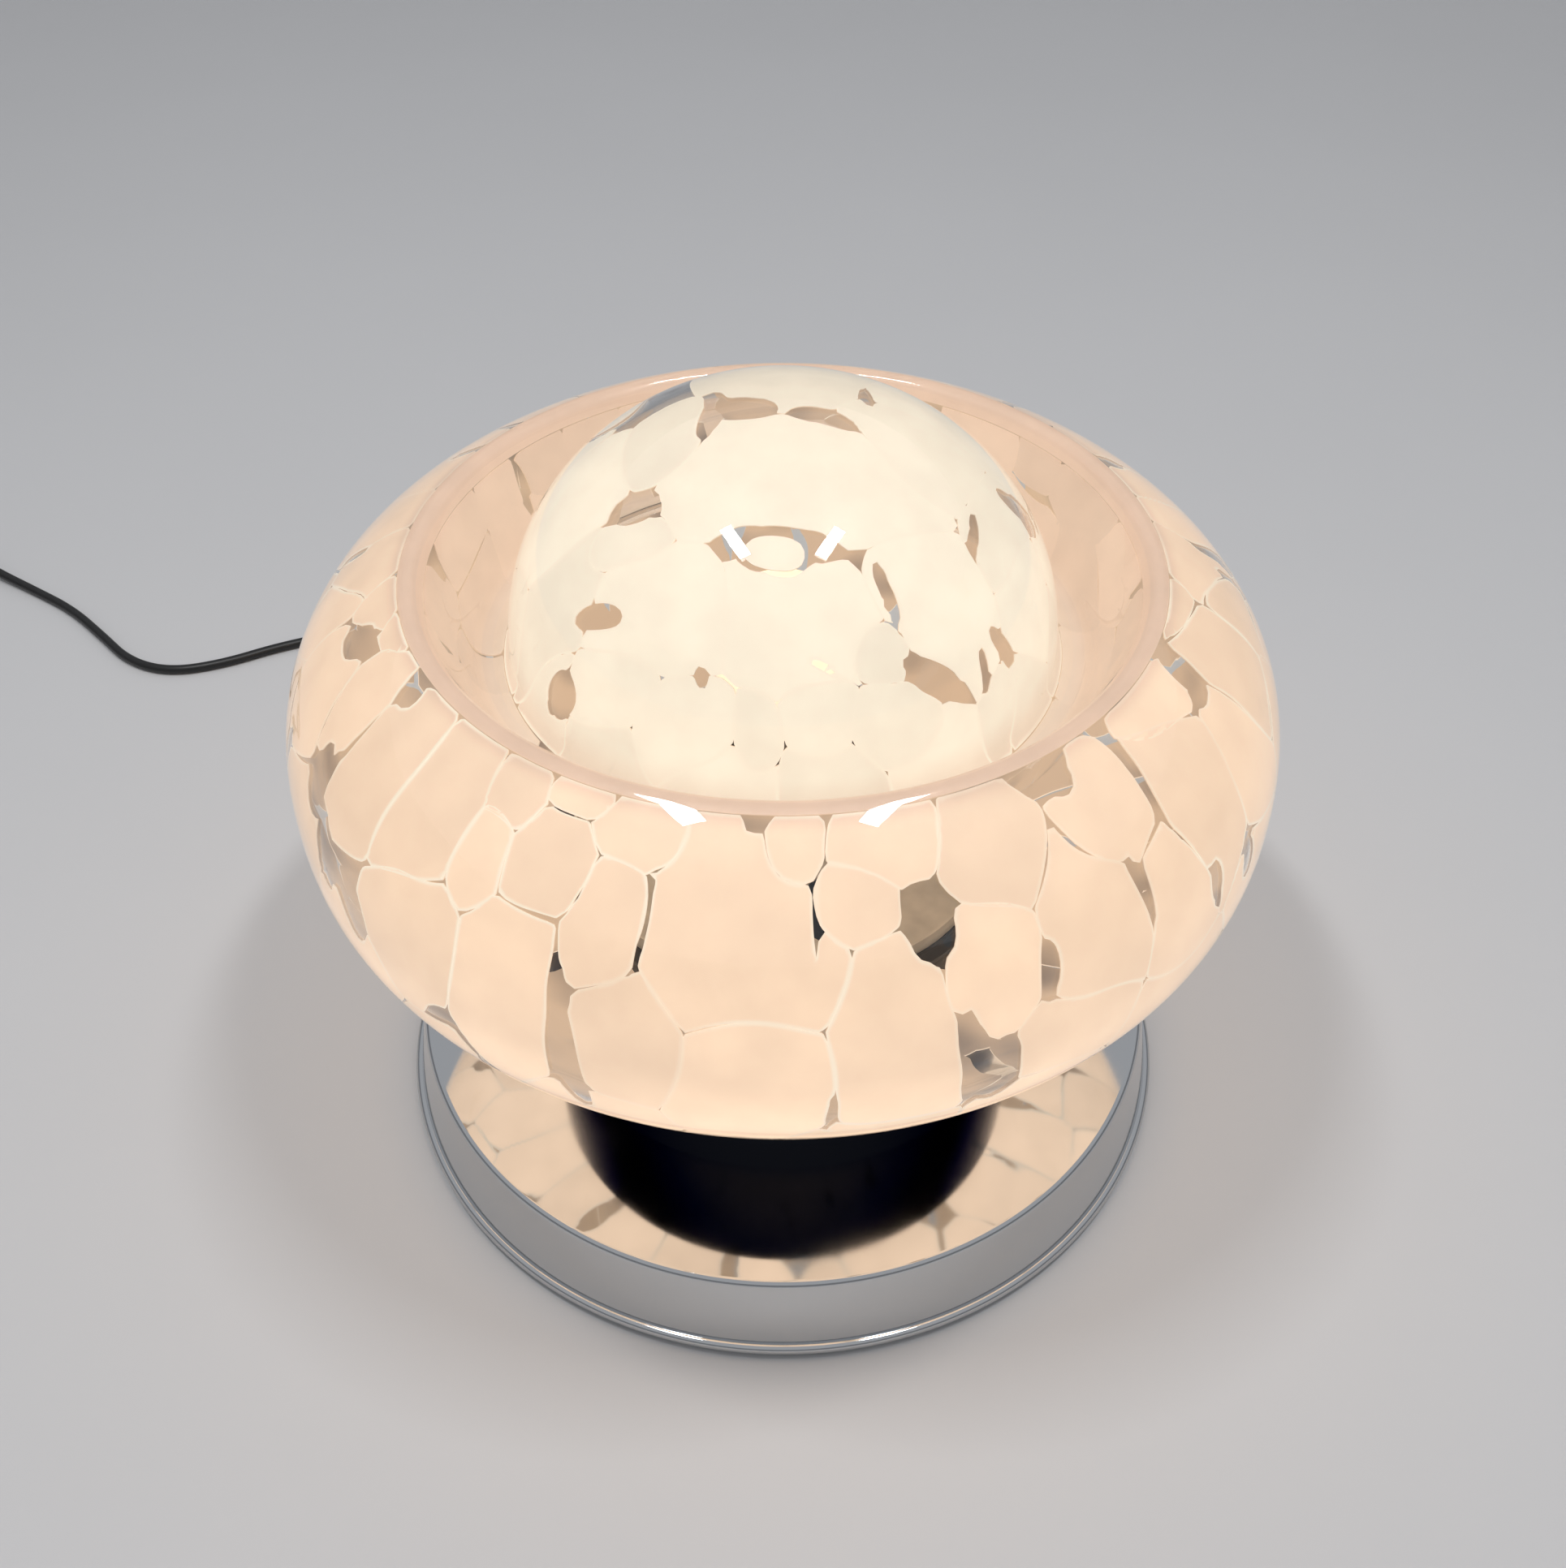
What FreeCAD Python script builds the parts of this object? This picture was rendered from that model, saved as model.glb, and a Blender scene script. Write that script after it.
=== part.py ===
import FreeCAD, Part
import math
import os
import Sketcher
from FreeCAD import Placement, Rotation, Vector

# A glass table lamp: blown glass shade on a chromed drum, on a wide chromed disc base.
# The origin is on the table under the centre of the base, +Z up, and the cord leaves at +Y.

UP = Vector(0, 0, 1)
AHEAD = Vector(0, 1, 0)
SIDE = Vector(1, 0, 0)
HERE = Vector(0, 0, 0)

# Each row is a driving size: its name, its value in millimetres, degrees or pieces, its meaning.
DRIVING_SIZES = [
    ("fit_gap", 0.3, "clearance between pieces that slide or turn past each other"),
    ("pad_thick", 2.5, "felt pad under the base"),
    ("pad_inset", 1.5, "felt pad inside the edge of the cover"),
    ("cover_thick", 2, "steel cover that closes the base"),
    ("cover_gap", 1.7, "edge of the cover to the bead of the base"),
    ("base_top_radius", 170, "flat polished top of the base"),
    ("base_height", 43, "table to the polished top"),
    ("base_wall", 1.5, "spun sheet of the base"),
    ("base_edge_round", 3, "outer corner of the polished top"),
    ("bead_radius", 2.6, "rolled bead at the foot of the skirt"),
    ("bead_reach", 179.4, "largest radius of the base, over the bead"),
    ("ballast_radius", 110, "cast disc that weighs the base down"),
    ("ballast_thick", 10, "cast disc that weighs the base down"),
    ("ballast_round", 2, "lower edge of the cast disc"),
    ("standoff_ring_radius", 90, "ring of standoffs that carry the cover"),
    ("standoff_radius", 4, "standoffs of the cover"),
    ("standoff_count", 3, "standoffs of the cover"),
    ("screw_radius", 1.9, "screws of the cover"),
    ("screw_head_radius", 3.6, "countersunk heads of the cover screws"),
    ("screw_length", 9, "screws of the cover"),
    ("drum_radius", 114, "chromed pedestal drum"),
    ("drum_height", 91, "drum above the polished top"),
    ("drum_wall", 1.5, "spun sheet of the drum"),
    ("drum_shoulder", 12, "round between the side and the top of the drum"),
    ("drum_foot", 8, "width of the foot flange inside the drum"),
    ("drum_mouth", 80, "radius of the opening in the top of the drum"),
    ("gallery_radius", 92, "gallery plate, over its upturned rim"),
    ("gallery_rim", 9, "height of the upturned rim"),
    ("gallery_wall", 1.2, "sheet of the gallery plate"),
    ("vent_radius", 22, "vent holes in the gallery plate"),
    ("vent_ring_radius", 54, "ring of vent holes"),
    ("vent_count", 6, "vent holes in the gallery plate"),
    ("gasket_width", 8, "rubber seat of the shade"),
    ("gasket_thick", 2, "rubber seat of the shade"),
    ("glass_wall", 4, "blown glass of the shade"),
    ("shade_radius", 199.4, "shade at its widest"),
    ("shade_opening", 95, "radius of the opening under the shade"),
    ("belly_drop", 70.9, "widest height of the shade down to its lip"),
    ("belly_power", 2.33, "fullness of the curve under the widest height"),
    ("crown_rise", 102.3, "half height of the curve above the widest height"),
    ("crown_power", 2.39, "fullness of the curve above the widest height"),
    ("ring_radius", 145, "radius where the folded ring begins"),
    ("fold_round", 0.9, "inner round of the folded ring"),
    ("dome_radius", 108, "dome inside the folded ring"),
    ("dome_rise", 96, "dome from the valley's side to its top"),
    ("dome_base", 44.1, "widest height of the dome above that of the shade"),
    ("valley_round", 8, "round at the bottom of the valley about the dome"),
    ("tube_radius", 5, "threaded tube that ties the lamp together"),
    ("tube_bore", 3.7, "bore of the threaded tube"),
    ("tube_end", 2.5, "threaded tube past its nut and past the cap"),
    ("nut_flats", 17, "tube nuts across their flats"),
    ("nut_thick", 5, "tube nuts"),
    ("washer_radius", 12, "tube washers"),
    ("washer_thick", 1.2, "tube washers"),
    ("cap_height", 22, "cap of the lampholder"),
    ("holder_radius", 20, "lampholder"),
    ("holder_wall", 2.2, "moulding of the lampholder"),
    ("cap_floor", 3, "floor of the lampholder cap"),
    ("cap_ledge", 14, "ledge in the cap, above its foot"),
    ("cap_foot_radius", 16, "foot of the cap"),
    ("cap_taper", 7, "height over which the cap widens"),
    ("insert_thick", 12, "ceramic insert of the lampholder"),
    ("shell_height", 36, "outer shell of the lampholder"),
    ("sleeve_wall", 0.5, "brass screw sleeve"),
    ("sleeve_height", 26, "brass screw sleeve"),
    ("contact_radius", 4, "centre contact of the lampholder"),
    ("contact_thick", 1.2, "centre contact of the lampholder"),
    ("lamp_cap_radius", 13.2, "screw cap of the bulb"),
    ("lamp_cap_height", 24, "screw cap of the bulb"),
    ("lamp_cap_wall", 0.6, "screw cap of the bulb"),
    ("lamp_cap_turn_in", 1.8, "foot of the screw cap, turned in"),
    ("lamp_tip_radius", 3.5, "centre contact of the bulb"),
    ("lamp_tip_thick", 1.7, "centre contact of the bulb"),
    ("lamp_insulator", 4.4, "insulator between the contact and the cap of the bulb"),
    ("insulator_radius", 5.6, "foot of the bulb's insulator"),
    ("bulb_radius", 30, "glass of the bulb at its widest"),
    ("bulb_neck_length", 9, "neck of the bulb inside its cap"),
    ("bulb_widest", 41, "widest height of the bulb above the top of its cap"),
    ("bulb_wall", 0.8, "glass of the bulb"),
    ("cord_radius", 2.8, "round mains cord"),
    ("cord_fit", 0.1, "clearance about the cord in its gland and sleeve"),
    ("exit_height", 24, "middle of the cord gland above the table"),
    ("gland_radius", 5.2, "shank of the cord gland"),
    ("gland_flange", 8, "flange radius of the cord gland and its nut"),
    ("gland_flange_thick", 2.4, "flange of the cord gland"),
    ("gland_nose", 22, "tapered nose of the cord gland outside its flange"),
    ("gland_nose_root", 5.7, "start of the tapered nose"),
    ("gland_nose_radius", 4.1, "end of the tapered nose"),
    ("gland_shank", 9, "shank of the cord gland inside the skirt"),
    ("gland_nut_thick", 3, "nut of the cord gland"),
    ("clamp_place", 98, "cord clamp, from the middle of the base"),
    ("clamp_width", 10, "cord clamp along the cord"),
    ("clamp_span", 24, "cord clamp across the cord"),
    ("clamp_thick", 2.2, "cord clamp strap"),
    ("clamp_screw_radius", 1.4, "screws of the cord clamp"),
    ("clamp_head_radius", 2.5, "heads of the clamp screws"),
    ("inside_run", 21, "straight cord inside the shank of the gland"),
    ("inside_bend", 3, "cord between gland and clamp, out of line"),
    ("clamp_run", 4, "straight cord before the clamp"),
    ("block_place", 66, "terminal block, from the middle of the base"),
    ("block_length", 17, "terminal block along the cord"),
    ("block_width", 21, "terminal block across the cord"),
    ("block_depth", 13, "terminal block below the ballast"),
    ("block_bore", 1.6, "wire bores of the terminal block"),
    ("pole_pitch", 10, "between the two poles of the terminal block"),
    ("wire_radius", 1.1, "insulated inner wires"),
    ("wire_spread", 1.4, "inner wires beside the middle of the tube"),
    ("wire_tuck", 2, "inner wires inside the bores of the block"),
    ("wire_run", 3, "straight inner wire before a bend"),
    ("wire_lead", 8, "straight inner wire out of the block"),
    ("wire_dip", 9, "inner wires below the foot of the tube"),
    ("switch_length", 62, "inline switch along the cord"),
    ("switch_width", 25, "inline switch across the cord"),
    ("switch_height", 18, "inline switch above the table"),
    ("switch_wall", 2, "moulding of the inline switch"),
    ("switch_end_round", 9, "corners of the inline switch seen from above"),
    ("switch_edge_round", 2.4, "upper and lower edges of the inline switch"),
    ("window_length", 22, "window of the rocker along the cord"),
    ("window_width", 12, "window of the rocker across the cord"),
    ("rocker_gap", 0.5, "rocker to the sides of its window"),
    ("rocker_end_gap", 1.3, "rocker to the ends of its window"),
    ("rocker_edge_stand", 1.1, "ends of the level rocker above the switch"),
    ("rocker_dip_stand", 0.25, "middle of the rocker above the switch"),
    ("rocker_depth", 2.5, "rocker below its pin"),
    ("rocker_angle", 8, "tilt of the rocker each way"),
    ("rocker_pivot_drop", 4, "rocker pin below the top of the switch"),
    ("rocker_pin_radius", 1, "rocker pin"),
    ("cheek_reach", 3, "cheeks about the pin, each way"),
    ("coil_radius", 31, "cord coil at the middle of its turns"),
    ("coil_gap", 0.6, "between neighbouring turns of the coil"),
    ("coil_quarters", 17, "quarter turns of the coil"),
    ("gland_run", 26, "first run of the cord outside its gland"),
    ("switch_run", 24, "run of the cord at each end of the switch"),
    ("coil_run", 24, "run of the cord before the coil"),
    ("tail_run", 21, "run of the cord after the coil"),
    ("plug_run", 3, "run of the cord before the sleeve of the plug"),
    ("plug_length", 37, "flat plug body"),
    ("plug_width", 26, "flat plug body"),
    ("plug_thick", 13.7, "flat plug body"),
    ("plug_nose_width", 14, "flat plug body where the cord enters"),
    ("plug_taper", 15, "length over which the plug body widens"),
    ("plug_round", 3, "edges of the plug body"),
    ("plug_sleeve_length", 22, "tapered sleeve on the cord at the plug"),
    ("plug_sleeve_radius", 5, "tapered sleeve where it meets the plug"),
    ("plug_sleeve_tip", 3.6, "thin end of the tapered sleeve"),
    ("pin_radius", 2, "plug pins"),
    ("pin_length", 19, "plug pins outside the body"),
    ("pin_spacing", 18.6, "between the plug pins"),
]

# The cord is laid along points chosen by hand: out of the gland, down behind the lamp, to its left.
CORD_LEAD = [
    Vector(-5, 247, 27.5),
    Vector(-17, 270, 20),
    Vector(-38, 289, 11.5),
    Vector(-66, 303, 5.5),
    Vector(-102, 313, 2.9),
    Vector(-144, 320, 2.9),
    Vector(-190, 323.5, 2.9),
    Vector(-236, 322, 2.9),
    Vector(-279, 315.5, 2.9),
    Vector(-316, 302.5, 2.9),
    Vector(-348, 285, 2.9),
    Vector(-379, 277, 2.9),
    Vector(-407, 287.5, 2.9),
    Vector(-431, 313, 2.9),
    Vector(-459, 341, 2.9),
    Vector(-491, 362.5, 2.9),
    Vector(-522, 381, 5),
]
SWITCH_END = Vector(-572, 404, 0)
SWITCH_HEADING = 168
CORD_LINK = [
    Vector(-682, 420, 6),
    Vector(-701, 404, 3.4),
]
COIL_MIDDLE = Vector(-670, 343, 0)
CORD_TAIL = [
    Vector(-625, 303.5, 8),
    Vector(-604, 299, 6.85),
]
PLUG_NOSE = Vector(-560, 289, 0)
PLUG_HEADING = -13


class Size:
    """A length that keeps its number together with the sheet expression behind it."""

    def __init__(self, number, text):
        self.number = number
        self.text = text

    def join(self, sign, other, number):
        return Size(number, "(%s %s %s)" % (self.text, sign, other.text))

    def __add__(self, other):
        other = size_of(other)
        return self.join("+", other, self.number + other.number)

    def __sub__(self, other):
        other = size_of(other)
        return self.join("-", other, self.number - other.number)

    def __mul__(self, other):
        other = size_of(other)
        return self.join("*", other, self.number * other.number)

    def __truediv__(self, other):
        other = size_of(other)
        return self.join("/", other, self.number / other.number)

    def __neg__(self):
        return size_of(0) - self


def size_of(value):
    if isinstance(value, Size):
        return value
    return Size(float(value), "%r" % float(value))


class Sizes:
    """The driving sizes by name."""


def make_sheet(doc):
    sheet = doc.addObject("Spreadsheet::Sheet", "Sizes")
    sizes = Sizes()
    for row, (name, number, meaning) in enumerate(DRIVING_SIZES, start=1):
        sheet.set("A%d" % row, meaning)
        sheet.set("B%d" % row, str(number))
        sheet.setAlias("B%d" % row, name)
        setattr(sizes, name, Size(float(number), "Sizes.%s" % name))
    doc.recompute()
    return sizes


def derive(k):
    """Heights and radii that follow from the driving sizes."""
    k.cover_top = k.pad_thick + k.cover_thick
    k.base_under = k.base_height - k.base_wall
    k.ballast_under = k.base_under - k.ballast_thick
    k.lower_nut_top = k.ballast_under - k.washer_thick
    k.tube_foot = k.lower_nut_top - k.nut_thick - k.tube_end
    k.drum_top = k.base_height + k.drum_height
    k.gallery_top = k.drum_top + k.gallery_wall
    k.upper_nut_foot = k.gallery_top + k.washer_thick
    k.cap_foot = k.upper_nut_foot + k.nut_thick
    k.tube_head = k.cap_foot + k.cap_floor + k.tube_end
    k.insert_foot = k.cap_foot + k.cap_ledge
    k.insert_top = k.insert_foot + k.insert_thick
    k.insert_radius = k.holder_radius - k.holder_wall - k.fit_gap
    k.cap_top = k.cap_foot + k.cap_height
    k.sleeve_bore = k.lamp_cap_radius + k.fit_gap
    k.shell_bore = k.sleeve_bore + k.sleeve_wall + k.fit_gap
    k.lamp_foot = k.insert_top + k.contact_thick + k.fit_gap
    k.lamp_cap_foot = k.lamp_foot + k.lamp_tip_thick + k.lamp_insulator
    k.lamp_cap_top = k.lamp_cap_foot + k.lamp_cap_height
    k.gasket_inner = k.gallery_radius + k.fit_gap
    k.gasket_outer = k.gasket_inner + k.gasket_width
    k.lip_height = k.drum_top + k.gasket_thick
    k.equator_height = k.lip_height + k.belly_drop
    k.dome_height = k.equator_height + k.dome_base
    k.bead_middle = k.bead_reach - k.bead_radius
    k.bead_height = k.pad_thick + k.bead_radius
    k.cover_radius = k.bead_middle - k.bead_radius - k.cover_gap
    k.pad_radius = k.cover_radius - k.pad_inset


# Sketches and bodies


def new_body(doc, label):
    body = doc.addObject("PartDesign::Body", label)
    body.Label = label
    return body


def new_sketch(body, role, label):
    planes = [feature for feature in body.Origin.OriginFeatures if feature.Role == role]
    sketch = body.newObject("Sketcher::SketchObject", label)
    sketch.AttachmentSupport = [(planes[0], "")]
    sketch.MapMode = "FlatFace"
    return sketch


def tie_point(sketch, geometry, vertex, across, along):
    """Hold one vertex at a place given by two sizes from the sketch's origin."""
    for kind, size, axis in (("DistanceX", across, -2), ("DistanceY", along, -1)):
        if abs(size.number) < 1e-9:
            sketch.addConstraint(Sketcher.Constraint("PointOnObject", geometry, vertex, axis))
            continue
        held = Sketcher.Constraint(kind, -1, 1, geometry, vertex, size.number)
        index = sketch.addConstraint(held)
        sketch.setExpression("Constraints[%d]" % index, size.text)


def draw_outline(sketch, corners):
    """A closed outline of straight lines through corners given as pairs of sizes."""
    corners = [(size_of(across), size_of(along)) for across, along in corners]
    points = [Vector(across.number, along.number, 0) for across, along in corners]
    first = sketch.GeometryCount
    count = len(points)
    for index in range(count):
        sketch.addGeometry(Part.LineSegment(points[index], points[(index + 1) % count]))
    for index in range(count):
        following = first + (index + 1) % count
        sketch.addConstraint(Sketcher.Constraint("Coincident", first + index, 2, following, 1))
    for index, (across, along) in enumerate(corners):
        tie_point(sketch, first + index, 1, across, along)


def draw_circle(sketch, across, along, radius):
    across = size_of(across)
    along = size_of(along)
    middle = Vector(across.number, along.number, 0)
    index = sketch.addGeometry(Part.Circle(middle, UP, radius.number))
    tie_point(sketch, index, 3, across, along)
    held = sketch.addConstraint(Sketcher.Constraint("Radius", index, radius.number))
    sketch.setExpression("Constraints[%d]" % held, radius.text)


def spin(body, sketch, feature="PartDesign::Revolution"):
    """Turn a sketch of the XZ plane about the vertical axis."""
    turned = body.newObject(feature, sketch.Name + "_turn")
    turned.Profile = sketch
    turned.ReferenceAxis = (sketch, ["V_Axis"])
    turned.Angle = 360
    sketch.Visibility = False
    return turned


def turned(doc, label, corners):
    """A body turned about Z from corners given as (radius, height)."""
    body = new_body(doc, label)
    sketch = new_sketch(body, "XZ_Plane", label + "_outline")
    draw_outline(sketch, corners)
    spin(body, sketch)
    doc.recompute()
    return body


def layer(body, label, height, feature, length, draw):
    """Pad upwards or pocket downwards from a sketch at a height over the body's own XY plane."""
    height = size_of(height)
    sketch = new_sketch(body, "XY_Plane", label + "_outline")
    sketch.AttachmentOffset = Placement(Vector(0, 0, height.number), Rotation())
    sketch.setExpression(".AttachmentOffset.Base.z", height.text)
    draw(sketch)
    made = body.newObject(feature, label)
    made.Profile = sketch
    length = size_of(length)
    made.Length = length.number
    made.setExpression("Length", length.text)
    body.Document.recompute()
    return made


def box_outline(low_x, low_y, high_x, high_y):
    return [(low_x, low_y), (high_x, low_y), (high_x, high_y), (low_x, high_y)]


def edge_names(shape, wanted):
    return ["Edge%d" % (index + 1) for index, edge in enumerate(shape.Edges) if wanted(edge)]


def soften(body, label, radius, wanted, feature="PartDesign::Fillet"):
    """Round or bevel the edges of the body's tip that a test picks."""
    tip = body.Tip
    names = edge_names(tip.Shape, wanted)
    if not names:
        raise ValueError("no edges to soften for " + label)
    made = body.newObject(feature, label)
    made.Base = (tip, names)
    side = "Radius" if feature.endswith("Fillet") else "Size"
    radius = size_of(radius)
    setattr(made, side, radius.number)
    made.setExpression(side, radius.text)
    body.Document.recompute()
    return made


def ring_edge(radius, height):
    """A test for the circular edges of one radius at one height."""
    radius = size_of(radius).number
    height = size_of(height).number

    def wanted(edge):
        curve = edge.Curve
        if not isinstance(curve, Part.Circle):
            return False
        return abs(curve.Radius - radius) < 0.01 and abs(curve.Center.z - height) < 0.01

    return wanted


def upright_edge(edge):
    low = edge.BoundBox
    return low.ZLength > 1 and low.XLength < 0.01 and low.YLength < 0.01


def level_edge(height):
    height = size_of(height).number

    def wanted(edge):
        box = edge.BoundBox
        return abs(box.ZMax - height) < 0.01 and abs(box.ZMin - height) < 0.01

    return wanted


def hole_round(body, label, across, along, radius):
    """A round hole through all of the body along Z."""
    sketch = new_sketch(body, "XY_Plane", label + "_outline")
    draw_circle(sketch, across, along, radius)
    made = body.newObject("PartDesign::Pocket", label)
    made.Profile = sketch
    made.Type = "ThroughAll"
    made.Midplane = True
    body.Document.recompute()
    return made


def polar(body, label, feature, count):
    """Repeat a feature evenly about Z."""
    pattern = body.newObject("PartDesign::PolarPattern", label)
    pattern.Originals = [feature]
    pattern.Axis = (feature.Profile[0], ["N_Axis"])
    pattern.Angle = 360
    pattern.Occurrences = int(count.number)
    pattern.setExpression("Occurrences", count.text)
    body.Tip = pattern
    body.Document.recompute()
    return pattern


def copies(doc, label, form, placements):
    """One node of separate solids: the same form at several places."""
    shapes = []
    for placement in placements:
        shape = form.Shape.copy()
        shape.Placement = placement.multiply(shape.Placement)
        shapes.append(shape)
    group = doc.addObject("Part::Feature", label)
    group.Label = label
    group.Shape = Part.makeCompound(shapes)
    return group


def around(radius, count, height=0, start=0):
    """Placements evenly round a circle."""
    steps = range(int(count))
    turns = [Rotation(UP, start + 360 * step / int(count)) for step in steps]
    return [Placement(turn.multVec(Vector(radius, 0, height)), turn) for turn in turns]


def lifted(height):
    return Placement(Vector(0, 0, height.number), Rotation())


def solid_feature(doc, label, shape, placement=None):
    item = doc.addObject("Part::Feature", label)
    item.Label = label
    item.Shape = shape
    if placement is not None:
        item.Placement = placement
    return item


# Arcs, tubes and blown walls


def arc_edge(start, corner, end):
    """The arc that leaves start towards corner and reaches end from corner."""
    middle = (start + end) * 0.5
    lift = corner - middle
    half = (end - start).Length / 2
    if lift.Length < half * 1e-5:
        return Part.LineSegment(start, end).toShape()
    rise = half * math.tan(math.atan2(lift.Length, half) / 2)
    return Part.Arc(start, middle + lift.normalize() * rise, end).toShape()


def biarc(start, heading, end, arriving):
    """Two tangent arcs from one place and heading to another."""
    chord = end - start
    both = heading + arriving
    spread = 2 * (1 - heading.dot(arriving))
    along = chord.dot(both)
    if spread < 1e-9:
        reach = chord.dot(chord) / (2 * along)
    else:
        reach = (-along + math.sqrt(along * along + spread * chord.dot(chord))) / spread
    first = start + heading * reach
    last = end - arriving * reach
    joint = (first + last) * 0.5
    return [arc_edge(start, first, joint), arc_edge(joint, last, end)]


def smooth_edges(stations):
    """Edges through stations of (place, heading)."""
    edges = []
    for (start, heading), (end, arriving) in zip(stations, stations[1:]):
        edges.extend(biarc(start, heading, end, arriving))
    return edges


def rounded_route(points):
    """Straight runs joined by tangent arcs, as large as the runs allow."""
    edges = []
    radii = []
    start = points[0]
    for before, corner, after in zip(points, points[1:], points[2:]):
        back = before - corner
        onward = after - corner
        reach = 0.45 * min(back.Length, onward.Length)
        turn = math.pi - back.getAngle(onward)
        radii.append(reach / math.tan(turn / 2))
        enter = corner + back.normalize() * reach
        leave = corner + onward.normalize() * reach
        edges.append(Part.LineSegment(start, enter).toShape())
        edges.append(arc_edge(enter, corner, leave))
        start = leave
    edges.append(Part.LineSegment(start, points[-1]).toShape())
    return Part.Wire(edges), radii


def tube(wire, radius, heading):
    """A solid tube along a wire that starts with the given heading."""
    start = wire.Edges[0].Vertexes[0].Point
    section = Part.Wire(Part.Circle(start, heading, radius).toShape())
    solid = wire.makePipeShell([section], True, False)
    expected = math.pi * radius * radius * wire.Length
    if abs(solid.Volume - expected) > expected * 0.01:
        raise ValueError("a tube has the wrong volume")
    return solid


def cord_tube(doc, label, points, radius):
    wire, radii = rounded_route(points)
    print(label, "length %.0f" % wire.Length, "least radius %.1f" % min(radii))
    return solid_feature(doc, label, tube(wire, radius, points[1] - points[0]))


def fuller_curve(middle, reach, rise, power, angles):
    """Stations (radius, height, heading) on a curve between a circle and a square.

    The angle runs from 0 at the widest place, and a negative rise runs downwards."""
    stations = []
    for angle in angles:
        turn = math.radians(angle)
        across = round(math.cos(turn), 12) ** (2 / power)
        upward = round(math.sin(turn), 12) ** (2 / power)
        normal = Vector(across ** (power - 1) / reach, 0, upward ** (power - 1) / rise).normalize()
        heading = Vector(-normal.z, 0, normal.x)
        place_here = Vector(middle.x + reach * across, 0, middle.z + rise * upward)
        stations.append((place_here, heading))
    return stations


def shifted(stations, distance):
    """Stations moved to the left of their heading, which is the inside of the glass."""
    moved = []
    for place_here, heading in stations:
        left = Vector(-heading.z, 0, heading.x)
        moved.append((place_here + left * distance, heading))
    return moved


def crown_place(k, radius):
    """Height and slope angle of the shade's upper curve at a radius."""
    reach = k.shade_radius.number
    rise = k.crown_rise.number
    power = k.crown_power.number
    share = (1 - (radius / reach) ** power) ** (1 / power)
    slope = (rise / reach) * (radius / reach / share) ** (power - 1)
    return k.equator_height.number + rise * share, math.atan(slope)


def crossed_tangent(left, left_radius, right, right_radius):
    """Heading of the line that passes under the left circle and over the right one."""
    between = right - left
    tilt = math.asin((left_radius + right_radius) / between.Length)
    return math.atan2(between.z, between.x) + tilt


def shade_stations(k):
    """The outer side of the shade from its lip round to the top of the dome."""
    lip = k.lip_height.number
    widest = k.equator_height.number
    seat = k.gasket_outer.number
    reach = k.shade_radius.number - seat
    belly_middle = Vector(seat, 0, widest)
    belly = fuller_curve(belly_middle, reach, -k.belly_drop.number, k.belly_power.number,
                         [90, 76, 62, 48, 34, 20, 8])
    stations = [(Vector(k.shade_opening.number, 0, lip), SIDE)]
    stations.extend(belly)

    ring = k.ring_radius.number
    ring_height, slope = crown_place(k, ring)
    share = (ring / k.shade_radius.number) ** (k.crown_power.number / 2)
    last = math.degrees(math.acos(share))
    steps = 6
    crown_angles = [last * step / steps for step in range(steps + 1)]
    crown_middle = Vector(0, 0, widest)
    stations.extend(fuller_curve(crown_middle, k.shade_radius.number, k.crown_rise.number,
                                 k.crown_power.number, crown_angles))

    crest_radius = k.glass_wall.number + k.fold_round.number
    crest = Vector(ring - crest_radius * math.sin(slope), 0, ring_height - crest_radius * math.cos(slope))
    valley_radius = k.valley_round.number
    valley = Vector(k.dome_radius.number + valley_radius, 0, k.dome_height.number)
    steep = crossed_tangent(valley, valley_radius, crest, crest_radius)
    stations.append((crest + UP * crest_radius, -SIDE))
    downward = Vector(-math.cos(steep), 0, -math.sin(steep))
    square = Vector(-math.sin(steep), 0, math.cos(steep))
    stations.append((crest + square * crest_radius, downward))
    stations.append((valley - square * valley_radius, downward))
    stations.append((valley - UP * valley_radius, -SIDE))
    dome_middle = Vector(0, 0, k.dome_height.number)
    stations.extend(fuller_curve(dome_middle, k.dome_radius.number, k.dome_rise.number, 2,
                                 [0, 18, 36, 54, 72, 90]))
    return stations


def blown_wall(stations, wall):
    """A glass wall turned about Z from its outer stations, which end on the axis."""
    inner = shifted(stations, wall)
    outside = smooth_edges(stations)
    inside = smooth_edges(inner)
    lip = Part.LineSegment(stations[0][0], inner[0][0]).toShape()
    pole = Part.LineSegment(stations[-1][0], inner[-1][0]).toShape()
    edges = Part.sortEdges(outside + inside + [lip, pole])[0]
    return Part.Face(Part.Wire(edges)).revolve(HERE, UP, 360)


# Base


def skirt_tilt(k):
    rise = k.base_height.number - k.bead_height.number
    return math.atan((k.bead_middle.number - k.base_top_radius.number) / rise)


def exit_frame(k):
    """The place on the outside of the skirt where the cord gland sits, its Z along the wall's normal."""
    tilt = skirt_tilt(k)
    drop = k.base_height.number - k.exit_height.number
    radius = k.base_top_radius.number + drop * math.tan(tilt)
    normal = Vector(0, math.cos(tilt), math.sin(tilt))
    return Placement(Vector(0, radius, k.exit_height.number), Rotation(UP, normal))


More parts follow.
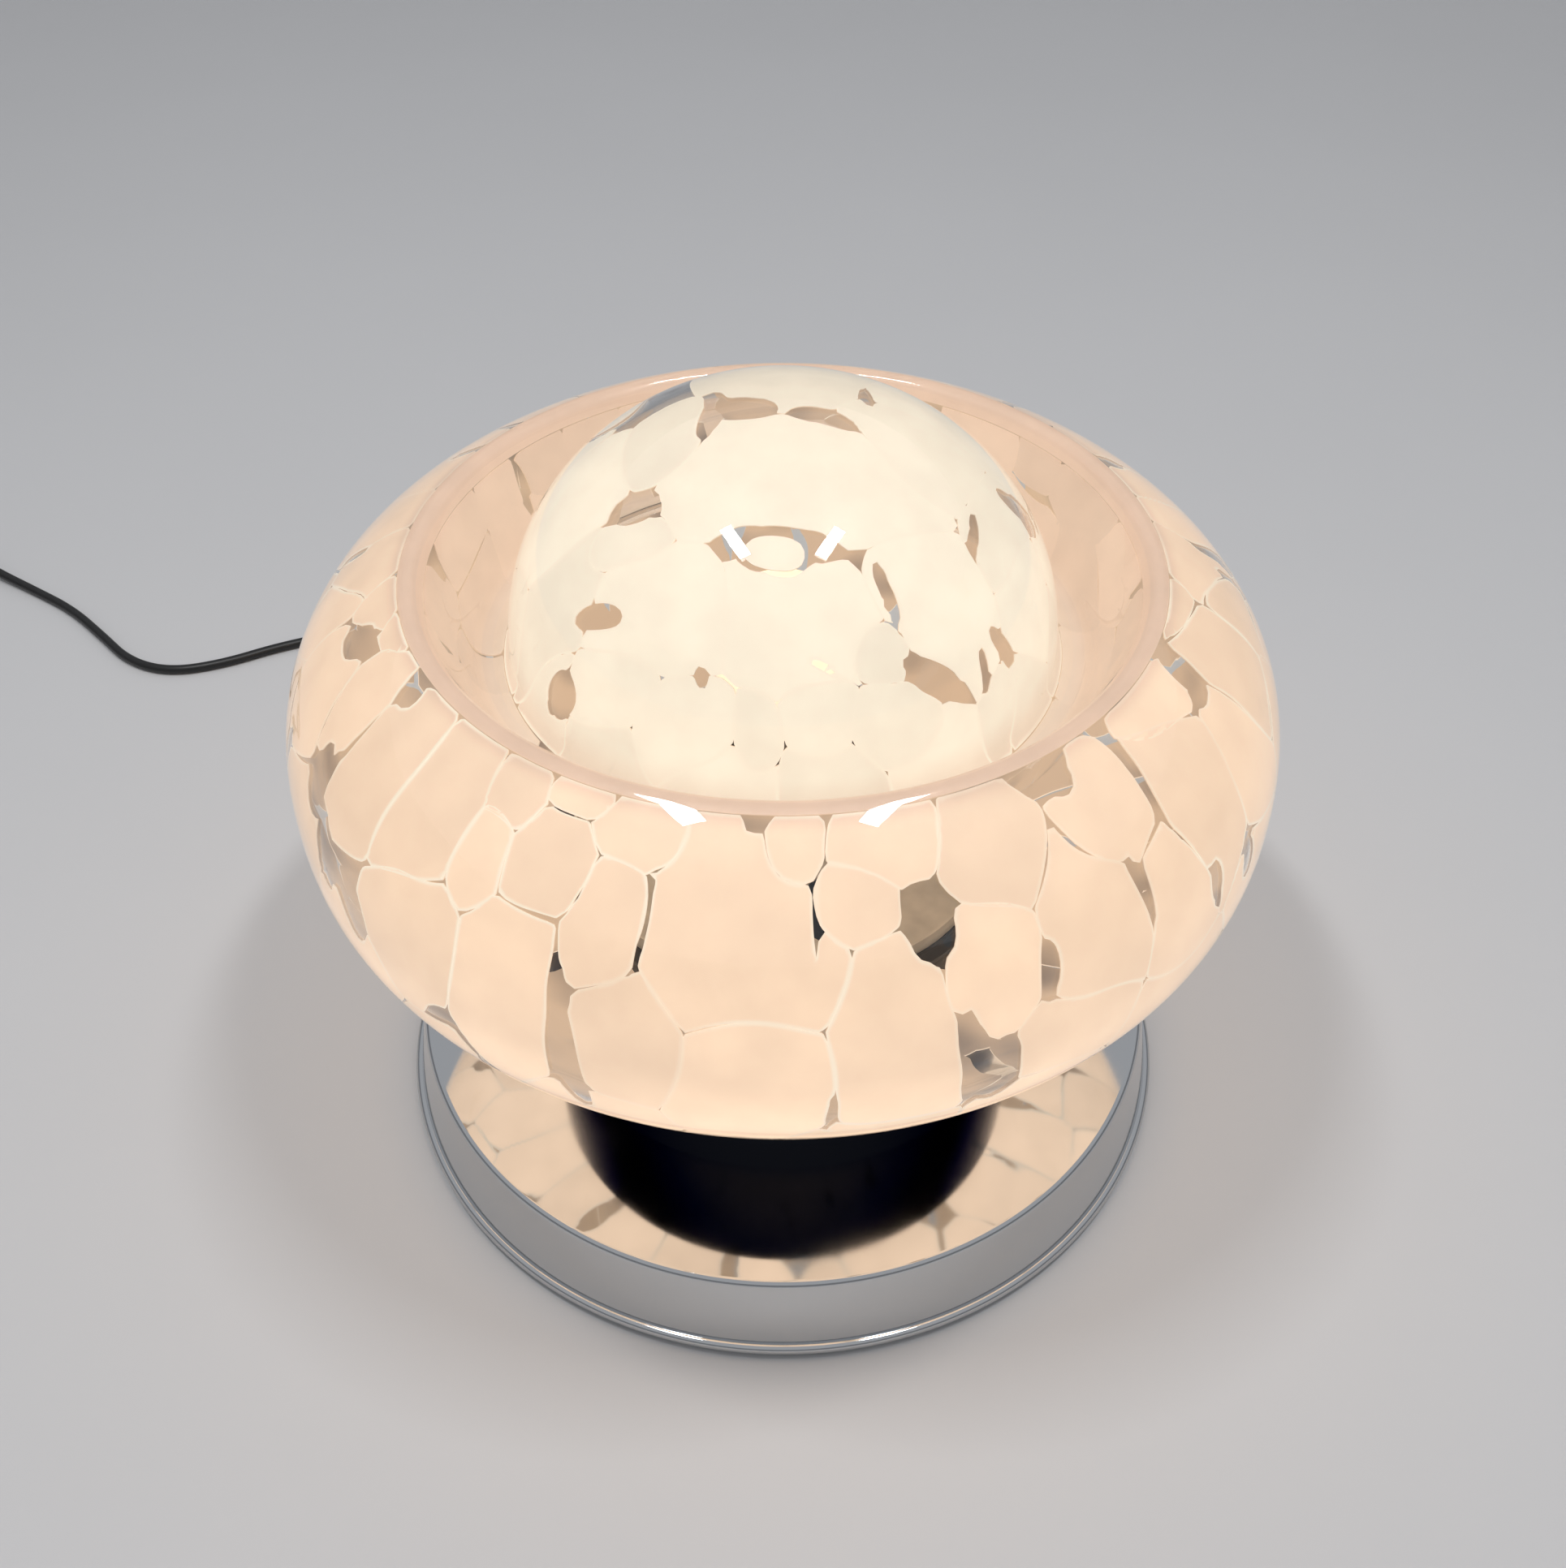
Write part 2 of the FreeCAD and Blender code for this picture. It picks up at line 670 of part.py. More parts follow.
def make_base_shell(doc, k):
    form = new_body(doc, "base_form")
    hole = k.tube_radius + k.fit_gap
    sketch = new_sketch(form, "XZ_Plane", "base_outline")
    draw_outline(sketch, [
        (hole, k.base_height),
        (k.base_top_radius, k.base_height),
        (k.bead_middle, k.bead_height),
        (k.bead_middle - k.base_wall, k.bead_height),
        (k.base_top_radius - k.base_wall, k.base_under),
        (hole, k.base_under),
    ])
    spin(form, sketch)
    doc.recompute()
    soften(form, "base_edge", k.base_edge_round, ring_edge(k.base_top_radius, k.base_height))
    bead = new_sketch(form, "XZ_Plane", "bead_outline")
    draw_circle(bead, k.bead_middle, k.bead_height, k.bead_radius)
    spin(form, bead)
    doc.recompute()
    drill = doc.addObject("Part::Cylinder", "exit_hole")
    drill.setExpression("Radius", (k.gland_radius + k.cord_fit).text)
    drill.setExpression("Height", (k.gland_shank * 2).text)
    start = Vector(0, 0, -k.gland_shank.number)
    drill.Placement = exit_frame(k).multiply(Placement(start, Rotation()))
    shell = doc.addObject("Part::Cut", "base_shell")
    shell.Base = form
    shell.Tool = drill
    doc.recompute()
    return shell


def make_ballast(doc, k):
    hole = k.tube_radius + k.fit_gap
    body = turned(doc, "ballast_disc", [
        (hole, k.ballast_under),
        (k.ballast_radius, k.ballast_under),
        (k.ballast_radius, k.base_under),
        (hole, k.base_under),
    ])
    soften(body, "ballast_edge", k.ballast_round, ring_edge(k.ballast_radius, k.ballast_under))
    return body


def make_felt_pad(doc, k):
    return turned(doc, "felt_pad", [
        (0, 0), (k.pad_radius, 0), (k.pad_radius, k.pad_thick), (0, k.pad_thick),
    ])


def make_bottom_cover(doc, k):
    body = turned(doc, "bottom_cover", [
        (0, k.pad_thick), (k.cover_radius, k.pad_thick), (k.cover_radius, k.cover_top), (0, k.cover_top),
    ])
    hole = hole_round(body, "screw_hole", k.standoff_ring_radius, 0, k.screw_radius + k.cord_fit)
    polar(body, "screw_holes", hole, k.standoff_count)
    bevel = k.screw_head_radius - k.screw_radius
    soften(body, "screw_seats", bevel, ring_edge(k.screw_radius + k.cord_fit, k.pad_thick),
           "PartDesign::Chamfer")
    return body


def make_cover_fixings(doc, k):
    length = k.ballast_under - k.cover_top
    bore = k.screw_radius + k.cord_fit
    bore_top = k.screw_length
    spacer = turned(doc, "standoff_form", [
        (bore, 0), (k.standoff_radius, 0), (k.standoff_radius, length), (0, length),
        (0, bore_top), (bore, bore_top),
    ])
    head = k.screw_head_radius - k.screw_radius
    screw = turned(doc, "cover_screw_form", [
        (0, 0), (k.screw_head_radius, 0), (k.screw_radius, head),
        (k.screw_radius, k.screw_length), (0, k.screw_length),
    ])
    ring = k.standoff_ring_radius.number
    count = k.standoff_count.number
    spacers = copies(doc, "cover_standoffs", spacer, around(ring, count, k.cover_top.number))
    screws = copies(doc, "cover_screws", screw, around(ring, count, k.pad_thick.number))
    return [spacers, screws]


# Pedestal and the tube that ties the lamp together


def make_drum(doc, k):
    inner = k.drum_radius - k.drum_wall
    under = k.drum_top - k.drum_wall
    body = turned(doc, "pedestal_drum", [
        (inner - k.drum_foot, k.base_height),
        (k.drum_radius, k.base_height),
        (k.drum_radius, k.drum_top),
        (k.drum_mouth, k.drum_top),
        (k.drum_mouth, under),
        (inner, under),
        (inner, k.base_height + k.drum_wall),
        (inner - k.drum_foot, k.base_height + k.drum_wall),
    ])
    soften(body, "shoulder", k.drum_shoulder, ring_edge(k.drum_radius, k.drum_top))
    soften(body, "shoulder_inside", k.drum_shoulder - k.drum_wall, ring_edge(inner, under))
    return body


def make_gallery(doc, k):
    hole = k.tube_radius + k.fit_gap
    inner = k.gallery_radius - k.gallery_wall
    rim_top = k.drum_top + k.gallery_rim
    body = turned(doc, "gallery_plate", [
        (hole, k.drum_top),
        (k.gallery_radius, k.drum_top),
        (k.gallery_radius, rim_top),
        (inner, rim_top),
        (inner, k.gallery_top),
        (hole, k.gallery_top),
    ])
    bend = k.gallery_wall * 2
    soften(body, "rim_bend", bend, ring_edge(k.gallery_radius, k.drum_top))
    soften(body, "rim_bend_inside", k.gallery_wall, ring_edge(inner, k.gallery_top))
    vent = hole_round(body, "vent", k.vent_ring_radius, 0, k.vent_radius)
    polar(body, "vents", vent, k.vent_count)
    return body


def make_gasket(doc, k):
    return turned(doc, "seat_gasket", [
        (k.gasket_inner, k.drum_top),
        (k.gasket_outer, k.drum_top),
        (k.gasket_outer, k.lip_height),
        (k.gasket_inner, k.lip_height),
    ])


def make_tube(doc, k):
    body = turned(doc, "threaded_tube", [
        (k.tube_bore, k.tube_foot),
        (k.tube_radius, k.tube_foot),
        (k.tube_radius, k.tube_head),
        (k.tube_bore, k.tube_head),
    ])
    washer = turned(doc, "washer_form", [
        (k.tube_radius + k.cord_fit, 0),
        (k.washer_radius, 0),
        (k.washer_radius, k.washer_thick),
        (k.tube_radius + k.cord_fit, k.washer_thick),
    ])
    prism = doc.addObject("Part::Prism", "nut_blank")
    prism.Polygon = 6
    prism.setExpression("Circumradius", (k.nut_flats / math.sqrt(3)).text)
    prism.setExpression("Height", k.nut_thick.text)
    bore = doc.addObject("Part::Cylinder", "nut_bore")
    bore.setExpression("Radius", (k.tube_radius + k.cord_fit).text)
    bore.setExpression("Height", k.nut_thick.text)
    nut = doc.addObject("Part::Cut", "nut_form")
    nut.Base = prism
    nut.Tool = bore
    doc.recompute()
    washer_places = [k.ballast_under - k.washer_thick, k.gallery_top]
    nut_places = [k.lower_nut_top - k.nut_thick, k.upper_nut_foot]
    washers = copies(doc, "tube_washers", washer, [lifted(place_z) for place_z in washer_places])
    nuts = copies(doc, "tube_nuts", nut, [lifted(place_z) for place_z in nut_places])
    return [body, washers, nuts]


# Lampholder and bulb


def make_lampholder(doc, k):
    inner = k.holder_radius - k.holder_wall
    hole = k.tube_radius + k.cord_fit
    ledge = inner - k.holder_wall
    shell_top = k.cap_top + k.shell_height
    cap = turned(doc, "holder_cap", [
        (hole, k.cap_foot),
        (k.cap_foot_radius, k.cap_foot),
        (k.holder_radius, k.cap_foot + k.cap_taper),
        (k.holder_radius, k.cap_top),
        (inner, k.cap_top),
        (inner, k.insert_foot),
        (ledge, k.insert_foot),
        (ledge, k.cap_foot + k.cap_taper),
        (k.cap_foot_radius - k.holder_wall, k.cap_foot + k.cap_floor),
        (hole, k.cap_foot + k.cap_floor),
    ])
    insert = turned(doc, "holder_insert", [
        (0, k.insert_foot),
        (k.insert_radius, k.insert_foot),
        (k.insert_radius, k.insert_top),
        (0, k.insert_top),
    ])
    shell = turned(doc, "holder_shell", [
        (inner, k.cap_top),
        (k.holder_radius, k.cap_top),
        (k.holder_radius, shell_top),
        (k.shell_bore, shell_top),
        (k.shell_bore, k.insert_top),
        (inner, k.insert_top),
    ])
    soften(shell, "shell_rim", k.holder_wall, ring_edge(k.holder_radius, shell_top))
    sleeve = turned(doc, "holder_sleeve", [
        (k.sleeve_bore, k.insert_top),
        (k.sleeve_bore + k.sleeve_wall, k.insert_top),
        (k.sleeve_bore + k.sleeve_wall, k.insert_top + k.sleeve_height),
        (k.sleeve_bore, k.insert_top + k.sleeve_height),
    ])
    contact = turned(doc, "holder_contact", [
        (0, k.insert_top),
        (k.contact_radius, k.insert_top),
        (k.contact_radius, k.insert_top + k.contact_thick),
        (0, k.insert_top + k.contact_thick),
    ])
    return [cap, insert, shell, sleeve, contact]


def make_bulb(doc, k):
    tip_top = k.lamp_foot + k.lamp_tip_thick
    inner = k.lamp_cap_radius - k.lamp_cap_wall
    tip = turned(doc, "bulb_contact", [
        (0, k.lamp_foot),
        (k.lamp_tip_radius, k.lamp_foot),
        (k.lamp_tip_radius, tip_top),
        (0, tip_top),
    ])
    insulator = turned(doc, "bulb_insulator", [
        (0, tip_top),
        (k.insulator_radius, tip_top),
        (inner, k.lamp_cap_foot),
        (0, k.lamp_cap_foot),
    ])
    cap = turned(doc, "bulb_cap", [
        (inner - k.lamp_cap_turn_in, k.lamp_cap_foot),
        (inner, k.lamp_cap_foot),
        (k.lamp_cap_radius, k.lamp_cap_foot + k.lamp_cap_wall),
        (k.lamp_cap_radius, k.lamp_cap_top),
        (inner, k.lamp_cap_top),
        (inner, k.lamp_cap_foot + k.lamp_cap_wall),
        (inner - k.lamp_cap_turn_in, k.lamp_cap_foot + k.lamp_cap_wall),
    ])
    neck = inner.number - k.cord_fit.number
    top = k.lamp_cap_top.number
    widest = top + k.bulb_widest.number
    radius = k.bulb_radius.number
    stations = [
        (Vector(neck, 0, top - k.bulb_neck_length.number), UP),
        (Vector(neck, 0, top + k.lamp_cap_wall.number), UP),
        (Vector(radius, 0, widest), UP),
        (Vector(0, 0, widest + radius), -SIDE),
    ]
    glass = solid_feature(doc, "bulb_glass", blown_wall(stations, k.bulb_wall.number))
    return [tip, insulator, cap, glass]


# Wiring inside the base


def make_gland(doc, k):
    bore = k.cord_radius + k.cord_fit
    flange_top = k.fit_gap + k.gland_flange_thick
    nose_top = flange_top + k.gland_nose
    gland = turned(doc, "cord_gland", [
        (bore, -k.gland_shank),
        (k.gland_radius, -k.gland_shank),
        (k.gland_radius, k.fit_gap),
        (k.gland_flange, k.fit_gap),
        (k.gland_flange, flange_top),
        (k.gland_nose_root, flange_top),
        (k.gland_nose_radius, nose_top),
        (bore, nose_top),
    ])
    nut_top = -(k.base_wall + k.fit_gap)
    nut = turned(doc, "gland_nut", [
        (k.gland_radius + k.cord_fit, nut_top - k.gland_nut_thick),
        (k.gland_flange, nut_top - k.gland_nut_thick),
        (k.gland_flange, nut_top),
        (k.gland_radius + k.cord_fit, nut_top),
    ])
    for body in (gland, nut):
        body.Placement = exit_frame(k)
    return [gland, nut]


def gland_mouth(k):
    reach = k.fit_gap.number + k.gland_flange_thick.number + k.gland_nose.number
    frame = exit_frame(k)
    normal = frame.Rotation.multVec(UP)
    return frame.Base + normal * reach, normal


def clamp_height(k):
    return k.ballast_under - k.cord_radius


def make_inside_cord(doc, k):
    mouth, normal = gland_mouth(k)
    clamp = clamp_height(k).number
    inner = mouth - normal * (k.gland_nose + k.gland_shank + k.inside_run).number
    far = k.clamp_place.number + k.clamp_width.number
    points = [
        mouth,
        inner,
        Vector(0, (inner.y + far) / 2 + k.inside_bend.number, (inner.z + clamp) / 2),
        Vector(0, far + k.clamp_run.number, clamp),
        Vector(0, k.block_place.number + k.block_length.number, clamp),
    ]
    return cord_tube(doc, "cord_inside", points, k.cord_radius.number)


def make_clamp(doc, k):
    strap_top = k.ballast_under - k.cord_radius * 2
    near = k.clamp_place - k.clamp_width / 2
    far = k.clamp_place + k.clamp_width / 2
    reach = k.clamp_span / 2
    inside = k.cord_radius + k.fit_gap
    body = new_body(doc, "cord_clamp")

    def strap(sketch):
        draw_outline(sketch, box_outline(-reach, near, reach, far))

    def ends(sketch):
        draw_outline(sketch, box_outline(-reach, near, -inside, far))
        draw_outline(sketch, box_outline(inside, near, reach, far))

    layer(body, "strap", strap_top - k.clamp_thick, "PartDesign::Pad", k.clamp_thick, strap)
    layer(body, "strap_ends", strap_top, "PartDesign::Pad", k.cord_radius * 2, ends)
    across = (reach + inside) / 2
    for name, side in (("left", -across), ("right", across)):
        hole_round(body, "clamp_hole_" + name, side, k.clamp_place, k.clamp_screw_radius + k.cord_fit)
    head = k.clamp_thick
    length = head + k.clamp_thick + k.cord_radius * 2
    screw = turned(doc, "clamp_screw_form", [
        (0, 0),
        (k.clamp_head_radius, 0),
        (k.clamp_head_radius, head),
        (k.clamp_screw_radius, head),
        (k.clamp_screw_radius, length),
        (0, length),
    ])
    foot = strap_top.number - k.clamp_thick.number - head.number
    sides = (-across.number, across.number)
    places = [Placement(Vector(side, k.clamp_place.number, foot), Rotation()) for side in sides]
    return [body, copies(doc, "clamp_screws", screw, places)]


def make_terminal_block(doc, k):
    body = new_body(doc, "terminal_block")
    near = k.block_place - k.block_length / 2
    far = k.block_place + k.block_length / 2
    reach = k.block_width / 2

    def moulding(sketch):
        draw_outline(sketch, box_outline(-reach, near, reach, far))

    layer(body, "moulding", k.ballast_under - k.block_depth, "PartDesign::Pad", k.block_depth, moulding)
    bores = new_sketch(body, "XZ_Plane", "wire_bores_outline")
    middle = k.ballast_under - k.block_depth / 2
    for pole in (-k.pole_pitch / 2, k.pole_pitch / 2):
        draw_circle(bores, pole, middle, k.block_bore)
    cut = body.newObject("PartDesign::Pocket", "wire_bores")
    cut.Profile = bores
    cut.Type = "ThroughAll"
    cut.Midplane = True
    doc.recompute()
    screw = turned(doc, "terminal_screw_form", [
        (0, 0),
        (k.block_bore, 0),
        (k.block_bore, k.block_bore),
        (0, k.block_bore),
    ])
    foot = (k.ballast_under - k.block_depth - k.block_bore).number
    places = []
    for side in (-1, 1):
        for end in (-1, 1):
            along = k.block_place.number + end * k.block_length.number / 4
            across = side * k.pole_pitch.number / 2
            places.append(Placement(Vector(across, along, foot), Rotation()))
    return [body, copies(doc, "terminal_screws", screw, places)]


def make_wires(doc, k):
    """Two cores from the cord to the block, and two wires from the block up the tube to the holder."""
    radius = k.wire_radius.number
    pole = k.pole_pitch.number / 2
    level = (k.ballast_under - k.block_depth / 2).number
    near = (k.block_place - k.block_length / 2).number
    far = (k.block_place + k.block_length / 2).number
    sheath_end = (k.block_place + k.block_length).number
    clamp = clamp_height(k).number
    spread = k.wire_spread.number
    foot = k.tube_foot.number
    low = foot - k.wire_dip.number
    tuck = k.wire_tuck.number
    run = k.wire_run.number
    lead = k.wire_lead.number
    solids = []
    for side in (-1, 1):
        cores = [
            Vector(side * spread, sheath_end, clamp),
            Vector(side * spread, sheath_end - run, clamp),
            Vector(side * pole, far + run, level),
            Vector(side * pole, far - tuck, level),
        ]
        rise = [
            Vector(side * pole, near + tuck, level),
            Vector(side * pole, near - lead, level),
            Vector(side * pole * 0.9, near - lead * 3, low + run * 2),
            Vector(side * (pole + spread) / 2, lead + run * 2, low),
            Vector(side * spread, run, low + run / 3),
            Vector(side * spread, 0, foot),
            Vector(side * spread, 0, k.tube_head.number + run / 3),
            Vector(side * pole * 1.2, 0, k.insert_foot.number - run),
            Vector(side * pole * 1.2, 0, k.insert_foot.number),
        ]
        for points in (cores, rise):
            wire, radii = rounded_route(points)
            solids.append(tube(wire, radius, points[1] - points[0]))
            print("inner_wires", "least radius %.1f" % min(radii))
    return solid_feature(doc, "inner_wires", Part.makeCompound(solids))


# Inline switch, in a frame of its own with X along the cord


def switch_frame(k):
    turn = Rotation(UP, SWITCH_HEADING)
    middle = SWITCH_END + turn.multVec(Vector(k.switch_length.number / 2, 0, 0))
    return Placement(middle, turn)


def make_switch_shells(doc, k):
    reach = k.switch_length / 2
    side = k.switch_width / 2
    split = k.switch_height / 2
    wall = k.switch_wall

    def outside(sketch):
        draw_outline(sketch, box_outline(-reach, -side, reach, side))

    def inside(sketch):
        draw_outline(sketch, box_outline(-(reach - wall), -(side - wall), reach - wall, side - wall))

    def window(sketch):
        across = k.window_width / 2
        along = k.window_length / 2
        draw_outline(sketch, box_outline(-along, -across, along, across))

    lower = new_body(doc, "switch_lower")
    layer(lower, "lower_block", 0, "PartDesign::Pad", split, outside)
    soften(lower, "lower_corners", k.switch_end_round, upright_edge)
    soften(lower, "lower_edge", k.switch_edge_round, level_edge(0))
    layer(lower, "lower_room", split, "PartDesign::Pocket", split - wall, inside)
    upper = new_body(doc, "switch_upper")
    layer(upper, "upper_block", split, "PartDesign::Pad", split, outside)
    soften(upper, "upper_corners", k.switch_end_round, upright_edge)
    soften(upper, "upper_edge", k.switch_edge_round, level_edge(k.switch_height))
    room = layer(upper, "upper_room", split, "PartDesign::Pocket", split - wall, inside)
    room.Reversed = True
    doc.recompute()
    layer(upper, "window", k.switch_height, "PartDesign::Pocket", wall * 2, window)
    cheek_near = k.window_width / 2 + k.rocker_gap
    pivot = k.switch_height - k.rocker_pivot_drop
    cheek_foot = pivot - k.cheek_reach

    def cheeks(sketch):
        across = side - wall
        along = k.cheek_reach
        draw_outline(sketch, box_outline(-along, -across, along, -cheek_near))
        draw_outline(sketch, box_outline(-along, cheek_near, along, across))

    layer(upper, "cheeks", cheek_foot, "PartDesign::Pad", k.switch_height - wall - cheek_foot, cheeks)
    pin_holes = new_sketch(upper, "XZ_Plane", "pin_holes_outline")
    draw_circle(pin_holes, 0, pivot, k.rocker_pin_radius + k.cord_fit / 2)
    cut = upper.newObject("PartDesign::Pocket", "pin_holes")
    cut.Profile = pin_holes
    cut.Midplane = True
    cut.setExpression("Length", ((side - wall) * 2 - k.fit_gap).text)
    doc.recompute()
    screw_place = reach - k.switch_end_round

    def screw_wells(sketch):
        for along in (-screw_place, screw_place):
            draw_circle(sketch, along, 0, k.screw_radius + k.fit_gap)

    well = layer(lower, "screw_wells", 0, "PartDesign::Pocket", wall / 2, screw_wells)
    well.Reversed = True
    doc.recompute()
    for shell in (lower, upper):
        shell.Placement = switch_frame(k)
    return [lower, upper]


def make_switch_fittings(doc, k):
    pivot = k.switch_height - k.rocker_pivot_drop
    length = (k.switch_width / 2 - k.switch_wall) * 2 - k.fit_gap * 2
    pin = doc.addObject("Part::Cylinder", "switch_pin")
    pin.setExpression("Radius", k.rocker_pin_radius.text)
    pin.setExpression("Height", length.text)
    level = Vector(0, length.number / 2, pivot.number)
    pin.Placement = switch_frame(k).multiply(Placement(level, Rotation(UP, -AHEAD)))
    strip = doc.addObject("Part::Box", "contact_form")
    strip.setExpression("Length", (k.window_length / 4).text)
    strip.setExpression("Width", (k.window_width / 3).text)
    strip.setExpression("Height", (k.switch_wall / 2).text)
    doc.recompute()
    places = []
    for side in (-1, 1):
        along = side * k.window_length.number / 2 - strip.Length.Value / 2
        corner = Vector(along, -strip.Width.Value / 2, k.switch_wall.number)
        places.append(switch_frame(k).multiply(Placement(corner, Rotation())))
    contacts = copies(doc, "switch_contacts", strip, places)
    head = doc.addObject("Part::Cylinder", "switch_screw_form")
    head.setExpression("Radius", k.screw_radius.text)
    head.setExpression("Height", (k.switch_wall / 2).text)
    doc.recompute()
    reach = (k.switch_length / 2 - k.switch_end_round).number
    spots = [Placement(Vector(along, 0, 0), Rotation()) for along in (-reach, reach)]
    screws = copies(doc, "switch_screws", head, [switch_frame(k).multiply(spot) for spot in spots])
    return [pin, contacts, screws]


def make_rocker(doc, k):
    """Built level about its pin, then tilted to the lit side."""
    end = k.window_length / 2 - k.rocker_end_gap
    top = k.rocker_pivot_drop + k.rocker_edge_stand
    middle = k.rocker_pivot_drop + k.rocker_dip_stand
    low = -k.rocker_depth
    body = new_body(doc, "switch_rocker")
    sketch = new_sketch(body, "XZ_Plane", "rocker_outline")
    draw_outline(sketch, [(-end, low), (end, low), (end, top), (0, middle), (-end, top)])
    pad = body.newObject("PartDesign::Pad", "rocker_block")
    pad.Profile = sketch
    pad.Midplane = True
    pad.setExpression("Length", (k.window_width - k.rocker_gap * 2).text)
    doc.recompute()
    bore = new_sketch(body, "XZ_Plane", "rocker_bore_outline")
    draw_circle(bore, 0, 0, k.rocker_pin_radius + k.cord_fit / 2)
    cut = body.newObject("PartDesign::Pocket", "rocker_bore")
    cut.Profile = bore
    cut.Type = "ThroughAll"
    cut.Midplane = True
    doc.recompute()
    pivot = Vector(0, 0, (k.switch_height - k.rocker_pivot_drop).number)
    tilt = Rotation(AHEAD, k.rocker_angle.number)
    body.Placement = switch_frame(k).multiply(Placement(pivot, tilt))
    print("rocker pivot", body.Placement.Base, "axis", switch_frame(k).Rotation.multVec(AHEAD))
    return body


# Cord, coil and plug


def coil_stations(k):
    """Stations of two piled layers, in to the middle and out again, wound towards the left."""
    pitch = (k.cord_radius * 2 + k.coil_gap).number
    low = k.cord_radius.number + k.cord_fit.number
    quarter = 0.25
    steps = int(k.coil_quarters.number)
    turns = steps * quarter
    outer = k.coil_radius.number + pitch * turns / 4
    half = turns / 2
    stations = []
    for step in range(steps + 1):
        travelled = step * quarter
        inward = half - abs(travelled - half)
        radius = outer - pitch * inward
        climb = min(1, max(0, (travelled - half) / 0.5 + 0.5))
        angle = math.pi + travelled * 2 * math.pi
        outward = Vector(math.cos(angle), math.sin(angle), 0)
        onward = Vector(-math.sin(angle), math.cos(angle), 0)
        drift = 0
        if abs(travelled - half) > quarter / 4:
            drift = math.copysign(pitch / (2 * math.pi), travelled - half)
        rise = 0
        if 0 < climb < 1:
            rise = pitch / math.pi
        heading = (onward * radius + outward * drift + UP * rise).normalize()
        height = low + pitch * climb * climb * (3 - 2 * climb)
        stations.append((COIL_MIDDLE + outward * radius + UP * height, heading))
    return stations


def make_coil(doc, k):
    stations = coil_stations(k)
    diameter = k.cord_radius.number * 2
    start, heading = stations[0]
    end, arriving = stations[-1]
    before = start - heading * diameter
    after = end + arriving * diameter
    edges = [Part.LineSegment(before, start).toShape()]
    edges.extend(smooth_edges(stations))
    edges.append(Part.LineSegment(end, after).toShape())
    wire = Part.Wire(edges)
    print("coil length %.0f" % wire.Length, "least gap %.2f" % (own_gap(wire) - diameter))
    coil = solid_feature(doc, "cord_coil", tube(wire, k.cord_radius.number, heading))
    return coil, (before, heading), (after, arriving)


def own_gap(wire):
    """The least distance between points of the wire that lie far apart along it."""
    step = 1.5
    apart = 60
    points = wire.discretize(Number=int(wire.Length / step))
    far = int(apart / step)
    least = wire.Length
    for index, point in enumerate(points):
        for other in points[index + far:]:
            least = min(least, (point - other).Length)
    return least


def make_cords(doc, k):
    coil, (coil_start, inward), (coil_end, outward) = make_coil(doc, k)
    radius = k.cord_radius.number
    mouth, normal = gland_mouth(k)
    level = UP * (k.switch_height.number / 2)
    frame = switch_frame(k)
    onward = frame.Rotation.multVec(SIDE)
    near = SWITCH_END + level
    far = near + onward * k.switch_length.number
    at_gland = normal * k.gland_run.number
    at_switch = onward * k.switch_run.number
    to_coil = inward * k.coil_run.number
    from_coil = outward * k.tail_run.number
    lead = [mouth, mouth + at_gland] + CORD_LEAD + [near - at_switch, near]
    link = [far, far + at_switch] + CORD_LINK + [coil_start - to_coil, coil_start]
    nose, ahead = plug_nose(k)
    at_plug = ahead * (k.plug_sleeve_length + k.plug_run).number
    tail = [coil_end, coil_end + from_coil] + CORD_TAIL + [nose - at_plug, nose]
    made = [coil]
    for label, points in (("cord_lead", lead), ("cord_link", link), ("cord_tail", tail)):
        made.append(cord_tube(doc, label, points, radius))
    return made


def plug_nose(k):
    ahead = Rotation(UP, PLUG_HEADING).multVec(SIDE)
    return PLUG_NOSE + UP * (k.plug_thick.number / 2), ahead


def make_plug(doc, k):
    turn = Rotation(UP, PLUG_HEADING)
    frame = Placement(PLUG_NOSE, turn)
    body = new_body(doc, "plug_body")
    full = k.plug_width / 2
    nose = k.plug_nose_width / 2
    taper = k.plug_taper

    def outline(sketch):
        draw_outline(sketch, [(0, -nose), (taper, -full), (k.plug_length, -full),
                              (k.plug_length, full), (taper, full), (0, nose)])

    layer(body, "plug_block", 0, "PartDesign::Pad", k.plug_thick, outline)
    soften(body, "plug_corners", k.plug_round, upright_edge)
    soften(body, "plug_edges", k.plug_round, level_edge(0))
    soften(body, "plug_top_edges", k.plug_round, level_edge(k.plug_thick))
    body.Placement = frame
    middle = k.plug_thick.number / 2
    pin = turned(doc, "plug_pin_form", [
        (0, 0),
        (k.pin_radius, 0),
        (k.pin_radius, k.pin_length - k.pin_radius / 2),
        (k.pin_radius / 2, k.pin_length),
        (0, k.pin_length),
    ])
    places = []
    for side in (-1, 1):
        spot = Vector(k.plug_length.number, side * k.pin_spacing.number / 2, middle)
        places.append(frame.multiply(Placement(spot, Rotation(UP, SIDE))))
    pins = copies(doc, "plug_pins", pin, places)
    bore = k.cord_radius + k.cord_fit
    sleeve = turned(doc, "plug_sleeve", [
        (bore, -k.plug_sleeve_length),
        (k.plug_sleeve_tip, -k.plug_sleeve_length),
        (k.plug_sleeve_radius, 0),
        (bore, 0),
    ])
    sleeve.Placement = frame.multiply(Placement(Vector(0, 0, middle), Rotation(UP, SIDE)))
    return [body, pins, sleeve]


